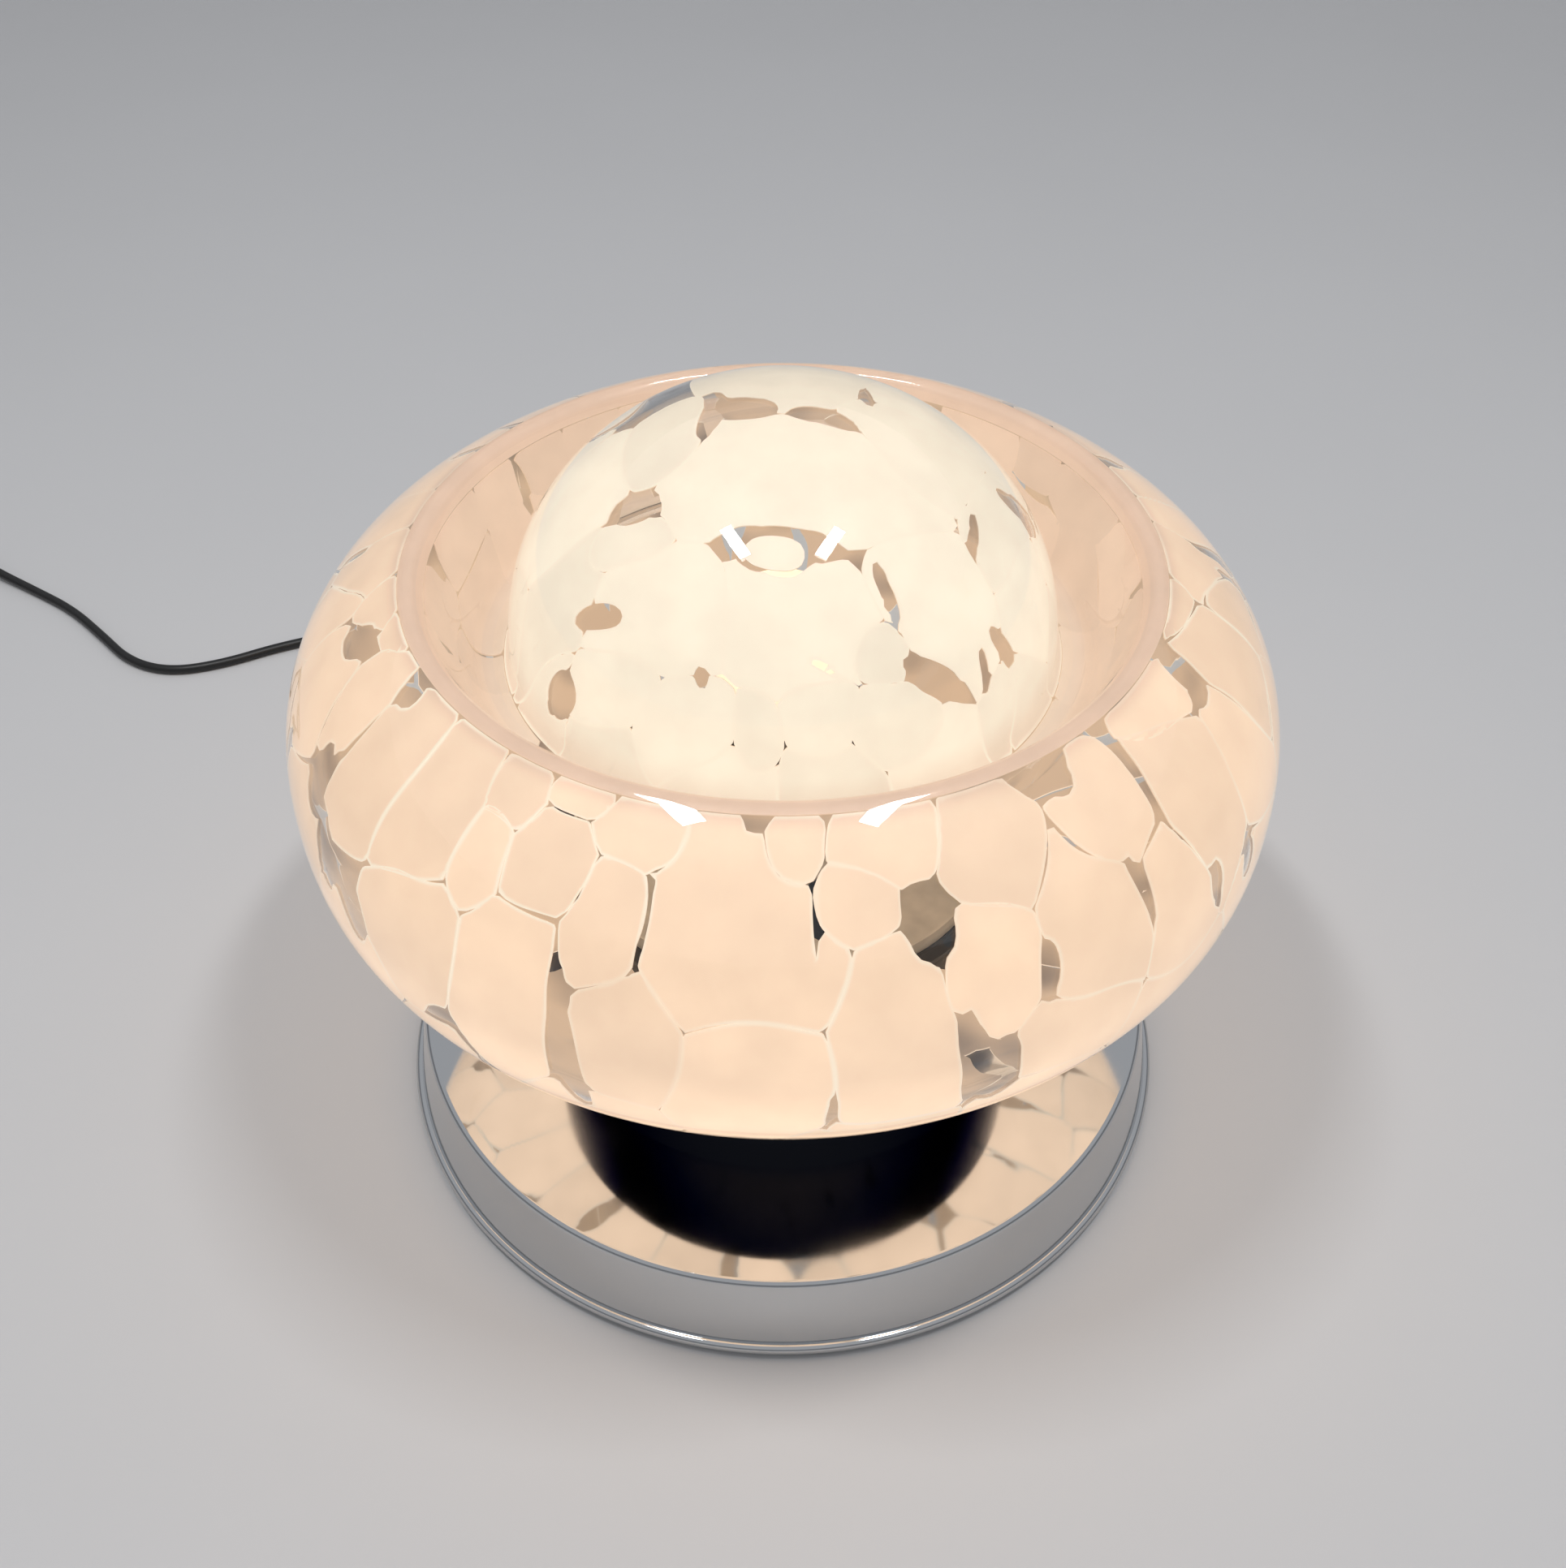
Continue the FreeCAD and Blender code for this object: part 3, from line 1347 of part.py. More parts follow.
def export(doc, nodes):
    doc.recompute()
    for item in doc.Objects:
        if "Invalid" in item.State or "Error" in item.State:
            raise RuntimeError("%s is not sound: %s" % (item.Label, item.State))
    os.makedirs("parts", exist_ok=True)
    for node in nodes:
        shape = node.Shape
        if shape.isNull() or not shape.isValid() or shape.Volume <= 0:
            raise RuntimeError("%s has no sound shape" % node.Label)
        shape.exportStep("parts/%s.step" % node.Label)
    print(len(nodes), "nodes")


def main():
    doc = FreeCAD.newDocument("glass_lamp")
    k = make_sheet(doc)
    derive(k)
    nodes = [
        make_base_shell(doc, k),
        make_ballast(doc, k),
        make_felt_pad(doc, k),
        make_bottom_cover(doc, k),
        make_drum(doc, k),
        make_gallery(doc, k),
        make_gasket(doc, k),
    ]
    nodes.extend(make_cover_fixings(doc, k))
    nodes.extend(make_tube(doc, k))
    nodes.extend(make_lampholder(doc, k))
    nodes.extend(make_bulb(doc, k))
    nodes.append(solid_feature(doc, "glass_shade", blown_wall(shade_stations(k), k.glass_wall.number)))
    nodes.extend(make_gland(doc, k))
    nodes.append(make_inside_cord(doc, k))
    nodes.extend(make_clamp(doc, k))
    nodes.extend(make_terminal_block(doc, k))
    nodes.append(make_wires(doc, k))
    nodes.extend(make_switch_shells(doc, k))
    nodes.extend(make_switch_fittings(doc, k))
    nodes.append(make_rocker(doc, k))
    nodes.extend(make_cords(doc, k))
    nodes.extend(make_plug(doc, k))
    export(doc, nodes)


main()
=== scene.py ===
"""Glass table lamp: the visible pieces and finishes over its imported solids."""

import math

import bmesh
import bpy
import numpy as np
from mathutils import Matrix, Vector


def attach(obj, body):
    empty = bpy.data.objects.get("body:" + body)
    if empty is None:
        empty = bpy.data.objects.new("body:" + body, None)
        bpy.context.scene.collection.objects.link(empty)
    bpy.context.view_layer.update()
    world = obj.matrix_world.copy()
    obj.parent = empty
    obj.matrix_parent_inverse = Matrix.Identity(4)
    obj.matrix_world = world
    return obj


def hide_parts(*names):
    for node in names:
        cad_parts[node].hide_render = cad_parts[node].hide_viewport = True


bl_info = {
    "name": "Blown glass table lamp",
    "version": (1, 0, 0),
    "blender": (4, 5, 0),
    "location": "3D View > Sidebar > Lamp",
    "description": "Makes the glass, metal, bulb, cord and studio of a blown glass table lamp",
    "category": "Object",
}

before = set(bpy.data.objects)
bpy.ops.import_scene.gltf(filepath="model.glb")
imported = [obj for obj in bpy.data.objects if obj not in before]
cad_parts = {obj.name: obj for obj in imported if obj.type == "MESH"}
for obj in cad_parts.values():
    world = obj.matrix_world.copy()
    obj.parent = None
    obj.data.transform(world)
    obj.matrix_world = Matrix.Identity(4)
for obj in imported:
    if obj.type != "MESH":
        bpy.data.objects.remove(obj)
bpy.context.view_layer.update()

MM = 0.001
GUIDE_RADIUS = 0.05  # of the circle that a turned outline follows, in metres
WELD = 0.00001

# Sockets of a Mix node that are in use when it mixes colours.
MIX_SHARE, MIX_FIRST, MIX_SECOND, MIX_RESULT = 0, 6, 7, 2


def linear(hex_colour):
    """An sRGB hex colour as linear red, green and blue."""
    parts = [int(hex_colour[place:place + 2], 16) / 255 for place in (1, 3, 5)]
    return tuple(part / 12.92 if part <= 0.04045 else ((part + 0.055) / 1.055) ** 2.4 for part in parts)


def opaque(hex_colour):
    """The same with full opacity, as colour sockets take it."""
    return (*linear(hex_colour), 1.0)


# Sizes and colours that a user would change


class ShadeSettings(bpy.types.PropertyGroup):
    wall: bpy.props.FloatProperty(
        name="Glass wall", description="Thickness of the blown glass", default=0.004, unit="LENGTH")
    opal_depth: bpy.props.FloatProperty(
        name="Opal depth", description="From the outside of the glass to the opal layer",
        default=0.0012, unit="LENGTH")
    opal_layer: bpy.props.FloatProperty(
        name="Opal layer", description="Thickness of the opal layer", default=0.0014, unit="LENGTH")
    body_colour: bpy.props.FloatVectorProperty(
        name="Body opal", description="Lit opal of the body", subtype="COLOR", size=3,
        default=linear("#FFDEBF"))
    dome_colour: bpy.props.FloatVectorProperty(
        name="Dome opal", description="Lit opal of the dome", subtype="COLOR", size=3,
        default=linear("#FEF2DC"))
    # The fold and valley colours are darker than the body's: painted shade where the bulb's light reaches
    # less, and in the fold also its thicker glass.
    fold_colour: bpy.props.FloatVectorProperty(
        name="Fold opal", description="Opal seen through the folded ring", subtype="COLOR", size=3,
        default=linear("#E0BDA5"))
    valley_colour: bpy.props.FloatVectorProperty(
        name="Valley opal", description="Opal between the folded ring and the dome", subtype="COLOR",
        size=3, default=linear("#DFBFA6"))
    inner_colour: bpy.props.FloatVectorProperty(
        name="Inner opal", description="Inner side of the opal, seen through clear glass",
        subtype="COLOR", size=3, default=linear("#D6B698"))


class MetalSettings(bpy.types.PropertyGroup):
    chrome_colour: bpy.props.FloatVectorProperty(
        name="Chrome", description="Chromium plate of the base", subtype="COLOR", size=3,
        default=linear("#C9CBCD"))
    segments: bpy.props.IntProperty(
        name="Segments", description="Segments round a turned piece", default=256, min=32)


class CordSettings(bpy.types.PropertyGroup):
    diameter: bpy.props.FloatProperty(
        name="Cord diameter", description="Round mains cord", default=0.0056, unit="LENGTH")
    coil_turns: bpy.props.FloatProperty(
        name="Coil turns", description="Turns of the put away coil", default=4.25)


class StudioSettings(bpy.types.PropertyGroup):
    floor_colour: bpy.props.FloatVectorProperty(
        name="Floor", description="Pale studio floor", subtype="COLOR", size=3, default=linear("#CFCFD0"))
    world_level: bpy.props.FloatProperty(
        name="World level", description="Strength of the even light from all sides", default=0.6)
    lamp_power: bpy.props.FloatProperty(
        name="Lamp power", description="Each soft lamp head", default=8.0, unit="POWER")
    floor_reach: bpy.props.FloatProperty(
        name="Floor reach", description="Radius of the flat floor", default=3.0, unit="LENGTH")
    sweep_radius: bpy.props.FloatProperty(
        name="Sweep radius", description="Round between the floor and the backdrop", default=1.2,
        unit="LENGTH")
    wall_height: bpy.props.FloatProperty(
        name="Backdrop height", description="Height of the backdrop", default=2.2, unit="LENGTH")


# Nodes and meshes


def feed(node, inputs):
    """Gives each input its value, or its link from a socket or from the first output of a node."""
    for name, value in inputs.items():
        socket = node.inputs[name]
        source = value.outputs[0] if isinstance(value, bpy.types.Node) else value
        if isinstance(source, bpy.types.NodeSocket):
            node.id_data.links.new(source, socket)
        else:
            socket.default_value = value


def add(tree, kind, inputs=None, **settings):
    """One node with its settings, values and links."""
    made = tree.nodes.new(kind)
    for name, value in settings.items():
        setattr(made, name, value)
    feed(made, inputs or {})
    return made


def set_stops(node, *stops):
    """Gives a colour ramp its stops, each as its place from 0 to 1 and its linear colour."""
    elements = node.color_ramp.elements
    for element, (place, colour) in zip(elements, (stops[0], stops[-1])):
        element.position = place
        element.color = (*colour, 1)
    for place, colour in stops[1:-1]:
        elements.new(place).color = (*colour, 1)


def per_metre(size):
    """The scale of a pattern whose marks are this many millimetres across."""
    return 1 / (size * MM)


def finish(name, **values):
    """A material, its tree, its Principled shader with these constant values, and object coordinates."""
    material = bpy.data.materials.new(name)
    material.use_nodes = True
    tree = material.node_tree
    shader = tree.nodes["Principled BSDF"]
    feed(shader, {label.replace("_", " "): value for label, value in values.items()})
    return material, tree, shader, add(tree, "ShaderNodeTexCoord").outputs["Object"]


def piece(name, mesh, body, material=None, replaces=()):
    """An object of the dressed part that rides a body, and that may replace nodes of the frame."""
    made = bpy.data.objects.new(name, mesh)
    bpy.context.scene.collection.objects.link(made)
    if material is not None:
        mesh.materials.clear()
        mesh.materials.append(material)
    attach(made, body)
    if replaces:
        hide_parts(*replaces)
    return made


def mesh_of(name, vertices, faces):
    """A checked mesh from its points and faces."""
    mesh = bpy.data.meshes.new(name)
    mesh.from_pydata([tuple(vertex) for vertex in vertices], [], faces)
    mesh.validate()
    mesh.update()
    return mesh


def ring_faces(rows, around, closed=True):
    """Faces between rows of points that each close into a ring; closed joins the last row to the first."""
    faces = []
    for row in range(rows if closed else rows - 1):
        here, onward = row * around, (row + 1) % rows * around
        for place in range(around):
            beside = (place + 1) % around
            faces.append((here + place, here + beside, onward + beside, onward + place))
    return faces


def smoothed(mesh, crease=50):
    """Smooth shading, apart from the edges that bend by more than the crease in degrees."""
    mesh.shade_smooth()
    mesh.set_sharp_from_angle(angle=math.radians(crease))
    return mesh


def give_values(mesh, values):
    """Numbers for each point of a mesh, under the names that the finishes read."""
    for label, numbers in values.items():
        attribute = mesh.attributes.new(label, "FLOAT", "POINT")
        attribute.data.foreach_set("value", numbers.astype(np.float32))


def sockets_of(tree, direction):
    """The identifiers of a tree's inputs or outputs by their names."""
    return {item.name: item.identifier for item in tree.interface.items_tree
            if item.item_type == "SOCKET" and item.in_out == direction}


def new_tree(name, **inputs):
    """A geometry tree with named inputs, each given as its socket type and first value."""
    tree = bpy.data.node_groups.new(name, "GeometryNodeTree")
    tree.interface.new_socket(name="Geometry", in_out="INPUT", socket_type="NodeSocketGeometry")
    for label, (kind, value) in inputs.items():
        socket = tree.interface.new_socket(
            name=label.replace("_", " "), in_out="INPUT", socket_type="NodeSocket" + kind)
        if value is not None:
            socket.default_value = value
    tree.interface.new_socket(name="Geometry", in_out="OUTPUT", socket_type="NodeSocketGeometry")
    return tree, add(tree, "NodeGroupInput").outputs


def end_tree(tree, geometry, material):
    """Makes instances real, paints them and gives them out."""
    whole = add(tree, "GeometryNodeRealizeInstances", {"Geometry": geometry})
    painted = add(tree, "GeometryNodeSetMaterial", {"Geometry": whole, "Material": material})
    add(tree, "NodeGroupOutput", {"Geometry": painted})


def grown(name, start, tree, values):
    """The plain mesh that a geometry tree makes of a start mesh."""
    holder = bpy.data.objects.new(name + "_start", start)
    bpy.context.scene.collection.objects.link(holder)
    modifier = holder.modifiers.new(tree.name, "NODES")
    modifier.node_group = tree
    identifiers = sockets_of(tree, "INPUT")
    for label, value in values.items():
        modifier[identifiers[label.replace("_", " ")]] = value
    graph = bpy.context.evaluated_depsgraph_get()
    mesh = bpy.data.meshes.new_from_object(holder.evaluated_get(graph))
    mesh.name = name
    bpy.data.objects.remove(holder)
    return mesh


def face_out(mesh):
    """Turns a closed mesh right side out."""
    work = bmesh.new()
    work.from_mesh(mesh)
    if work.calc_volume(signed=True) < 0:
        bmesh.ops.reverse_faces(work, faces=work.faces)
        work.to_mesh(mesh)
    work.free()


def turning_tree():
    """An outline that is turned about Z by sending it round a guide circle."""
    tree, given = new_tree("turned_wall", Segments=("Int", 128), Guide=("Float", GUIDE_RADIUS),
                           Weld=("Float", WELD), Finish=("Material", None))
    outline = add(tree, "GeometryNodeMeshToCurve", {"Mesh": given["Geometry"]})
    guide = add(tree, "GeometryNodeCurvePrimitiveCircle",
                {"Resolution": given["Segments"], "Radius": given["Guide"]})
    wall = add(tree, "GeometryNodeCurveToMesh", {"Curve": guide, "Profile Curve": outline})
    welded = add(tree, "GeometryNodeMergeByDistance", {"Geometry": wall, "Distance": given["Weld"]})
    smooth = add(tree, "GeometryNodeSetShadeSmooth", {"Geometry": welded})
    end_tree(tree, smooth, given["Finish"])
    return tree


def turned(name, outline, material, closed, segments=None, crease=40):
    """A piece turned about Z from outline points of radius and height in millimetres."""
    start = bpy.data.meshes.new(name + "_outline")
    points = [(radius * MM - GUIDE_RADIUS, -height * MM, 0) for radius, height in outline]
    edges = [(index, index + 1) for index in range(len(points) - 1)]
    if closed:
        edges.append((len(points) - 1, 0))
    start.from_pydata(points, edges, [])
    tree = bpy.data.node_groups.get("turned_wall") or turning_tree()
    count = segments or bpy.context.scene.lamp_metal.segments
    mesh = grown(name, start, tree, {"Segments": count, "Guide": GUIDE_RADIUS, "Weld": WELD,
                                     "Finish": material})
    face_out(mesh)
    return smoothed(mesh, crease)


def arc(middle, across, up, start, end, steps, power=2):
    """Points on an arc of an ellipse, or with a power over 2 of a fuller oval."""
    points = []
    for step in range(steps + 1):
        angle = start + (end - start) * step / steps
        right, high = math.cos(angle), math.sin(angle)
        points.append((middle[0] + across * math.copysign(abs(right) ** (2 / power), right),
                       middle[1] + up * math.copysign(abs(high) ** (2 / power), high)))
    return points


def softened(corners, steps=8):
    """An outline with each corner given as radius, height and the size of its round."""
    points = []
    count = len(corners)
    for index, (across, up, size) in enumerate(corners):
        here = Vector((across, up))
        if not size:
            points.append(tuple(here))
            continue
        before = (Vector(corners[index - 1][:2]) - here).normalized()
        after = (Vector(corners[(index + 1) % count][:2]) - here).normalized()
        half = before.angle(after) / 2
        middle = here + (before + after).normalized() * (size / math.sin(half))
        first = here + before * (size / math.tan(half)) - middle
        last = here + after * (size / math.tan(half)) - middle
        sweep = math.pi - 2 * half
        for step in range(steps + 1):
            share = step / steps
            turn = (first * math.sin((1 - share) * sweep) + last * math.sin(share * sweep)) / math.sin(sweep)
            points.append(tuple(middle + turn))
    return points


# Shape of the shade, in millimetres


SEAT_RADIUS = 100.3
LIP_RADIUS = 95.0
LIP_HEIGHT = 136.0
WIDEST_RADIUS = 199.4
WIDEST_HEIGHT = 206.9
BELLY_DROP = 70.9
BELLY_POWER = 2.33
CROWN_RISE = 102.3
CROWN_POWER = 2.39
RING_RADIUS = 145.0
CREST_ROUND = 4.9
VALLEY_ROUND = 8.0
DOME_RADIUS = 108.0
DOME_RISE = 96.0
DOME_HEIGHT = 251.0
SHADE_SEGMENTS = 288


def shade_line():
    """Arc lengths, points and outward normals of the outside of the shade, from its lip to the top."""
    quarter = math.pi / 2
    fine = 90
    bends = 24
    points = [(LIP_RADIUS, LIP_HEIGHT)]
    points += arc((SEAT_RADIUS, WIDEST_HEIGHT), WIDEST_RADIUS - SEAT_RADIUS, BELLY_DROP, -quarter, 0, fine,
                  BELLY_POWER)
    last = math.acos((RING_RADIUS / WIDEST_RADIUS) ** (CROWN_POWER / 2))
    points += arc((0, WIDEST_HEIGHT), WIDEST_RADIUS, CROWN_RISE, 0, last, fine, CROWN_POWER)
    share = (1 - (RING_RADIUS / WIDEST_RADIUS) ** CROWN_POWER) ** (1 / CROWN_POWER)
    slope = math.atan(CROWN_RISE / WIDEST_RADIUS * (RING_RADIUS / WIDEST_RADIUS / share) ** (CROWN_POWER - 1))
    crest = (RING_RADIUS - CREST_ROUND * math.sin(slope),
             WIDEST_HEIGHT + CROWN_RISE * share - CREST_ROUND * math.cos(slope))
    valley = (DOME_RADIUS + VALLEY_ROUND, DOME_HEIGHT)
    apart = (crest[0] - valley[0], crest[1] - valley[1])
    steep = math.atan2(apart[1], apart[0]) + math.asin((CREST_ROUND + VALLEY_ROUND) / math.hypot(*apart))
    square = math.atan2(math.cos(steep), -math.sin(steep))
    points += arc(crest, CREST_ROUND, CREST_ROUND, quarter - slope, square, bends)
    points += arc(valley, VALLEY_ROUND, VALLEY_ROUND, square - math.pi, -math.pi, bends)
    points += arc((0, DOME_HEIGHT), DOME_RADIUS, DOME_RISE, 0, quarter, fine)
    line = np.array(points)
    along = np.r_[0, np.cumsum(np.hypot(*np.diff(line, axis=0).T))]
    keep = np.r_[True, np.diff(along) > 1e-6]
    line, along = line[keep], along[keep]
    lengths = np.arange(0, along[-1], 0.5)
    line = np.stack([np.interp(lengths, along, line[:, 0]), np.interp(lengths, along, line[:, 1])], 1)
    heading = np.gradient(line, axis=0)
    heading /= np.hypot(*heading.T)[:, None]
    normals = np.stack([heading[:, 1], -heading[:, 0]], 1)
    line = np.r_[line, [[0, DOME_HEIGHT + DOME_RISE]]]
    normals = np.r_[normals, [[0, 1]]]
    return np.r_[lengths, along[-1]], line, normals


def shade_outline(wall):
    """Closed wall outline from the outer pole down to the lip and back inside to the inner pole."""
    lengths, line, normals = shade_line()
    # The points stand closest over the folded ring and its valley.
    picks = np.unique(np.r_[np.searchsorted(lengths, np.arange(0, 236, 5.0)),
                            np.searchsorted(lengths, np.arange(236, 318, 1.5)),
                            np.searchsorted(lengths, np.arange(318, lengths[-1], 4.0)),
                            len(lengths) - 1])
    outer = line[picks]
    inner = outer - normals[picks] * wall
    inner[0] = outer[0] + (0, wall)
    inner[-1][0] = 0
    return [tuple(point) for point in outer[::-1]] + [tuple(point) for point in inner]


# Opal blotches


# Each blotch of the body: degrees from the front towards the right, length up from the lip in
# millimetres, half width in degrees, half height in millimetres, lean in degrees.
BODY_BLOTCHES = [
    (-79, 238, 5, 12, 0), (-64, 222, 4, 28, 0), (-73, 198, 6.5, 20, 0), (-54, 215, 6.5, 30, 0),
    (-43, 212, 6, 33, 0), (-34.5, 210, 3.2, 18, 0), (-34, 233, 4.5, 13, 0), (-27.1, 216.7, 4.8, 16.7, 0),
    (-25.6, 240, 4, 7, 0), (-16.8, 232, 5.2, 11, 0), (-18.3, 198, 4.2, 22, 0), (-4.6, 205, 9.4, 33, 0),
    (-28.5, 155, 5.6, 38, 0), (-41, 168, 6, 30, 0), (-15.8, 160, 5.3, 30, 0), (-3, 140, 7.6, 33, 0),
    (1, 234, 4, 14, 0), (7.8, 215.3, 4.8, 14, 0), (12.1, 232.5, 7, 15.5, 0), (11.2, 160, 5.9, 41, 0),
    (21, 186.7, 5.1, 22.7, 0), (24.4, 221.7, 6.6, 22, -12), (39, 218.3, 7.2, 20, 0),
    (33.2, 187, 6.1, 37, 0), (30.7, 145, 6.3, 22, 0), (45.7, 170, 5.4, 30, 0), (53.3, 198, 6.4, 37, 0),
    (65, 188, 6.3, 30, 0), (58, 234, 8, 12, 0), (74, 211, 7, 30, 0), (-88, 205, 6, 32, 0),
    (-83, 160, 7, 30, 0), (-67, 150, 7, 28, 0), (-53, 122, 8, 27, 0), (-20, 112, 8, 20, 0),
    (8, 104, 9, 20, 0), (28, 104, 8, 22, 0), (46, 122, 8, 25, 0), (62, 146, 7, 26, 0),
    (79, 160, 7, 32, 0), (88, 207, 6, 30, 0), (77, 243, 7, 10, 0), (-70, 246, 6, 8, 0),
]

# Each blotch of the dome: place to the right and to the back of its top, half sizes and lean.
DOME_BLOTCHES = [
    (2, 66, 38, 54, 0), (82, 98, 42, 34, 0), (74, 32, 42, 30, -8), (-98, 92, 24, 34, 0),
    (-66, 113, 24, 24, 0), (5, 150, 68, 22, 0), (-70, 47, 13, 20, 0), (-46, -7, 18, 22, 0),
    (-91, -10, 36, 32, 0), (-112, 42, 32, 30, 0), (53, -6, 27, 27, 0), (88, -28, 17, 30, 0),
    (3, -33, 48, 24, 0), (-61, -53, 18, 11, 0), (-105, -60, 44, 20, -8), (-50, -80, 33, 20, 15),
    (-82, -104, 28, 19, 0), (-118, -92, 14, 8, -20), (6, -92, 32, 23, 35), (-3, -67, 11, 7, 0),
    (68, -77, 28, 21, 12), (37, -101, 14, 12, 0), (16, -124, 16, 18, 0), (56, -124, 29, 16, 0),
    (-11, -135, 12, 18, 0), (-50, -126, 26, 17, 0), (113, -97, 19, 20, 0), (110, -50, 24, 27, 0),
    (135, -5, 20, 26, 0), (130, 70, 18, 34, 0), (-135, -35, 18, 24, 0), (-128, 78, 16, 32, 0),
]

# Clear places between the blotches of the body and of the dome, in the same numbers.
BODY_GAPS = [
    (-74.6, 225, 2.4, 9, 0), (-62.5, 189, 2.0, 14, -8), (-60.2, 209, 0.5, 22, 0), (-58.7, 238, 2.4, 8, 0),
    (-56.7, 167, 1.1, 13, -20), (-50, 151, 1.8, 10, 0), (-36, 120, 2.2, 22, -10),
    (-21.3, 146, 1.9, 34, -6), (-14.2, 202, 0.45, 19, 0), (-4, 241, 1.2, 4, 0), (3.6, 210, 0.4, 15, 6),
    (15.3, 203, 3.2, 12, 10), (34.6, 238, 4.2, 9, 30), (27.2, 177, 1.2, 10, 0), (39.6, 188, 1.0, 16, 0),
    (46.5, 216, 0.5, 21, 0), (51.2, 168, 1.4, 11, 0), (65, 230, 2.2, 14, 12), (5, 129, 0.5, 13, 0),
    (18, 156, 1.4, 19, 4), (22, 138, 1.6, 14, 0), (-74, 170, 1.2, 12, 0), (58.5, 160, 1.5, 12, 0),
]
DOME_GAPS = [
    (-63, 53, 26, 37, 0), (-37, 117, 5, 17, 0), (-51, 95, 13, 5, 30), (9, 125, 38, 5, 0),
    (40, 95, 4, 15, 0), (-101, 129, 20, 16, 0), (-28, -1, 4, 15, 8), (-14, 3, 10, 6, 0),
    (18, -7, 12, 5, 30), (32, 19, 2.5, 10, 0), (99, -5, 16, 6, 0), (111, 17, 3, 24, -22),
    (123, 53, 6, 14, 20), (112, 75, 5, 10, -20), (121, 113, 3, 14, 0), (-54, -39, 10, 8, 0),
    (-77, -75, 14, 5, 20), (-107, -93, 14, 11, 0), (-2, -65, 17, 11, 0), (41, -79, 3, 10, -20),
    (63, -100, 18, 6, 0), (97, -76, 12, 5, 15), (89, -89, 3, 9, -35), (74, -41, 3, 11, 0),
    (15, -105, 7, 1.6, 30), (-32, -108, 2, 3, 0), (153, -5, 5, 24, 8), (-106, 31, 4, 26, 15),
]
# Blotches of the dome that stand inside a clear place.
ISLANDS = {(-3, -67, 11, 7, 0), (-70, 47, 13, 20, 0)}

# How the blotches are drawn, and the stretches of the outside that each opal piece covers.
SPREAD = 1.35         # growth of a blotch into its neighbours
SMALLEST_LEAF = 0.12  # a leaf that doesn't reach this far over its own edge is left out
FAR_FROM_RIM = 15.0   # past this many millimetres nothing changes
BODY_STEP = 3.0       # from point to point of the body's opal, in millimetres
TOP_STEP = 2.4        # the same for the fold and the dome
SHADE_LENGTH = 474.0  # from the lip to the top, along the outside
BODY_LIMITS = (8, 243.5)
RING_LIMITS = (243.9, 257.1)
FOLD_LIMITS = (257.5, 306)
DOME_LIMITS = (306.5, 480)

# The middle and the half width of the valley, where the blotches have no bright lines.
VALLEY_MIDDLE = 281.0
VALLEY_HALF = 25.0


def fold_blotches(dice):
    """Blotches of the valley between the folded ring and the dome, which have run together."""
    made = []
    for middle in (266, 292):
        angle = dice.uniform(0, 8)
        while angle < 352:
            wide = dice.uniform(5, 12)
            made.append((angle + wide, middle + dice.uniform(-6, 6), wide * 1.1, dice.uniform(12, 20),
                         dice.uniform(-25, 25)))
            angle += wide * 2
    return made


def unseen_gaps(dice, blotches, share):
    """Clear slits beside a share of the blotches that the photograph doesn't show."""
    return [(angle + wide * 0.9, middle + tall * dice.uniform(-0.9, 0.9), dice.uniform(0.7, 2.2),
             dice.uniform(8, 18), dice.uniform(-20, 20))
            for angle, middle, wide, tall, lean in blotches if dice.uniform() < share]


def unseen_body_blotches(dice):
    """Blotches of the back and the underside, in courses that keep clear of the given ones."""
    made = []
    for middle, half in ((222, 26), (176, 30), (130, 28), (84, 27), (40, 24)):
        angle = 84 if middle > 110 else 4
        stop = 276 if middle > 110 else 364
        while angle < stop - 5:
            wide = dice.uniform(4.6, 7.4) * (1.0 if middle > 60 else 1.35)
            made.append((angle + wide, middle + dice.uniform(-12, 12), wide * 1.12,
                         half * dice.uniform(0.75, 1.2), dice.uniform(-8, 8)))
            angle += wide * 2
    return made


def unseen_dome_blotches(dice):
    """Blotches of the dome's back, and of its foot behind the folded ring."""
    made = []
    for step in range(10):
        angle = math.radians(-104 + 23 * step + dice.uniform(-4, 4))
        made.append((158 * math.sin(angle), -158 * math.cos(angle), 34, 24, 0))
    for ring, count, size in ((140, 15, 24), (95, 10, 26), (58, 6, 26)):
        for step in range(count):
            angle = math.tau * step / count + dice.uniform(-0.12, 0.12)
            across = ring * math.sin(angle)
            back = -ring * math.cos(angle)
            if back < -20 or (abs(across) < 60 and back < 30):
                continue
            made.append((across, back, size * dice.uniform(0.8, 1.2), size * dice.uniform(0.8, 1.25), 0))
    return made


def ripple(across, up, seed):
    """A smooth unevenness from -1 to 1 over a chart."""
    waves = ((0.071, 0.043, 1.3), (-0.052, 0.088, 2.1), (0.117, -0.061, 0.4), (0.021, 0.131, 3.7))
    total = sum(np.sin(across * first + up * second + phase * (seed + 1)) for first, second, phase in waves)
    return total / len(waves)


def closeness(across, up, blotch, scale):
    """Distance from the middle of a blotch, where 1 is its edge."""
    middle, height, wide, tall, lean = blotch
    shift = (across - middle) * scale
    rise = up - height
    turn = math.radians(lean)
    side = shift * math.cos(turn) - rise * math.sin(turn)
    top = shift * math.sin(turn) + rise * math.cos(turn)
    power = 2.3
    return (np.abs(side / (wide * scale)) ** power + np.abs(top / tall) ** power) ** (1 / power)


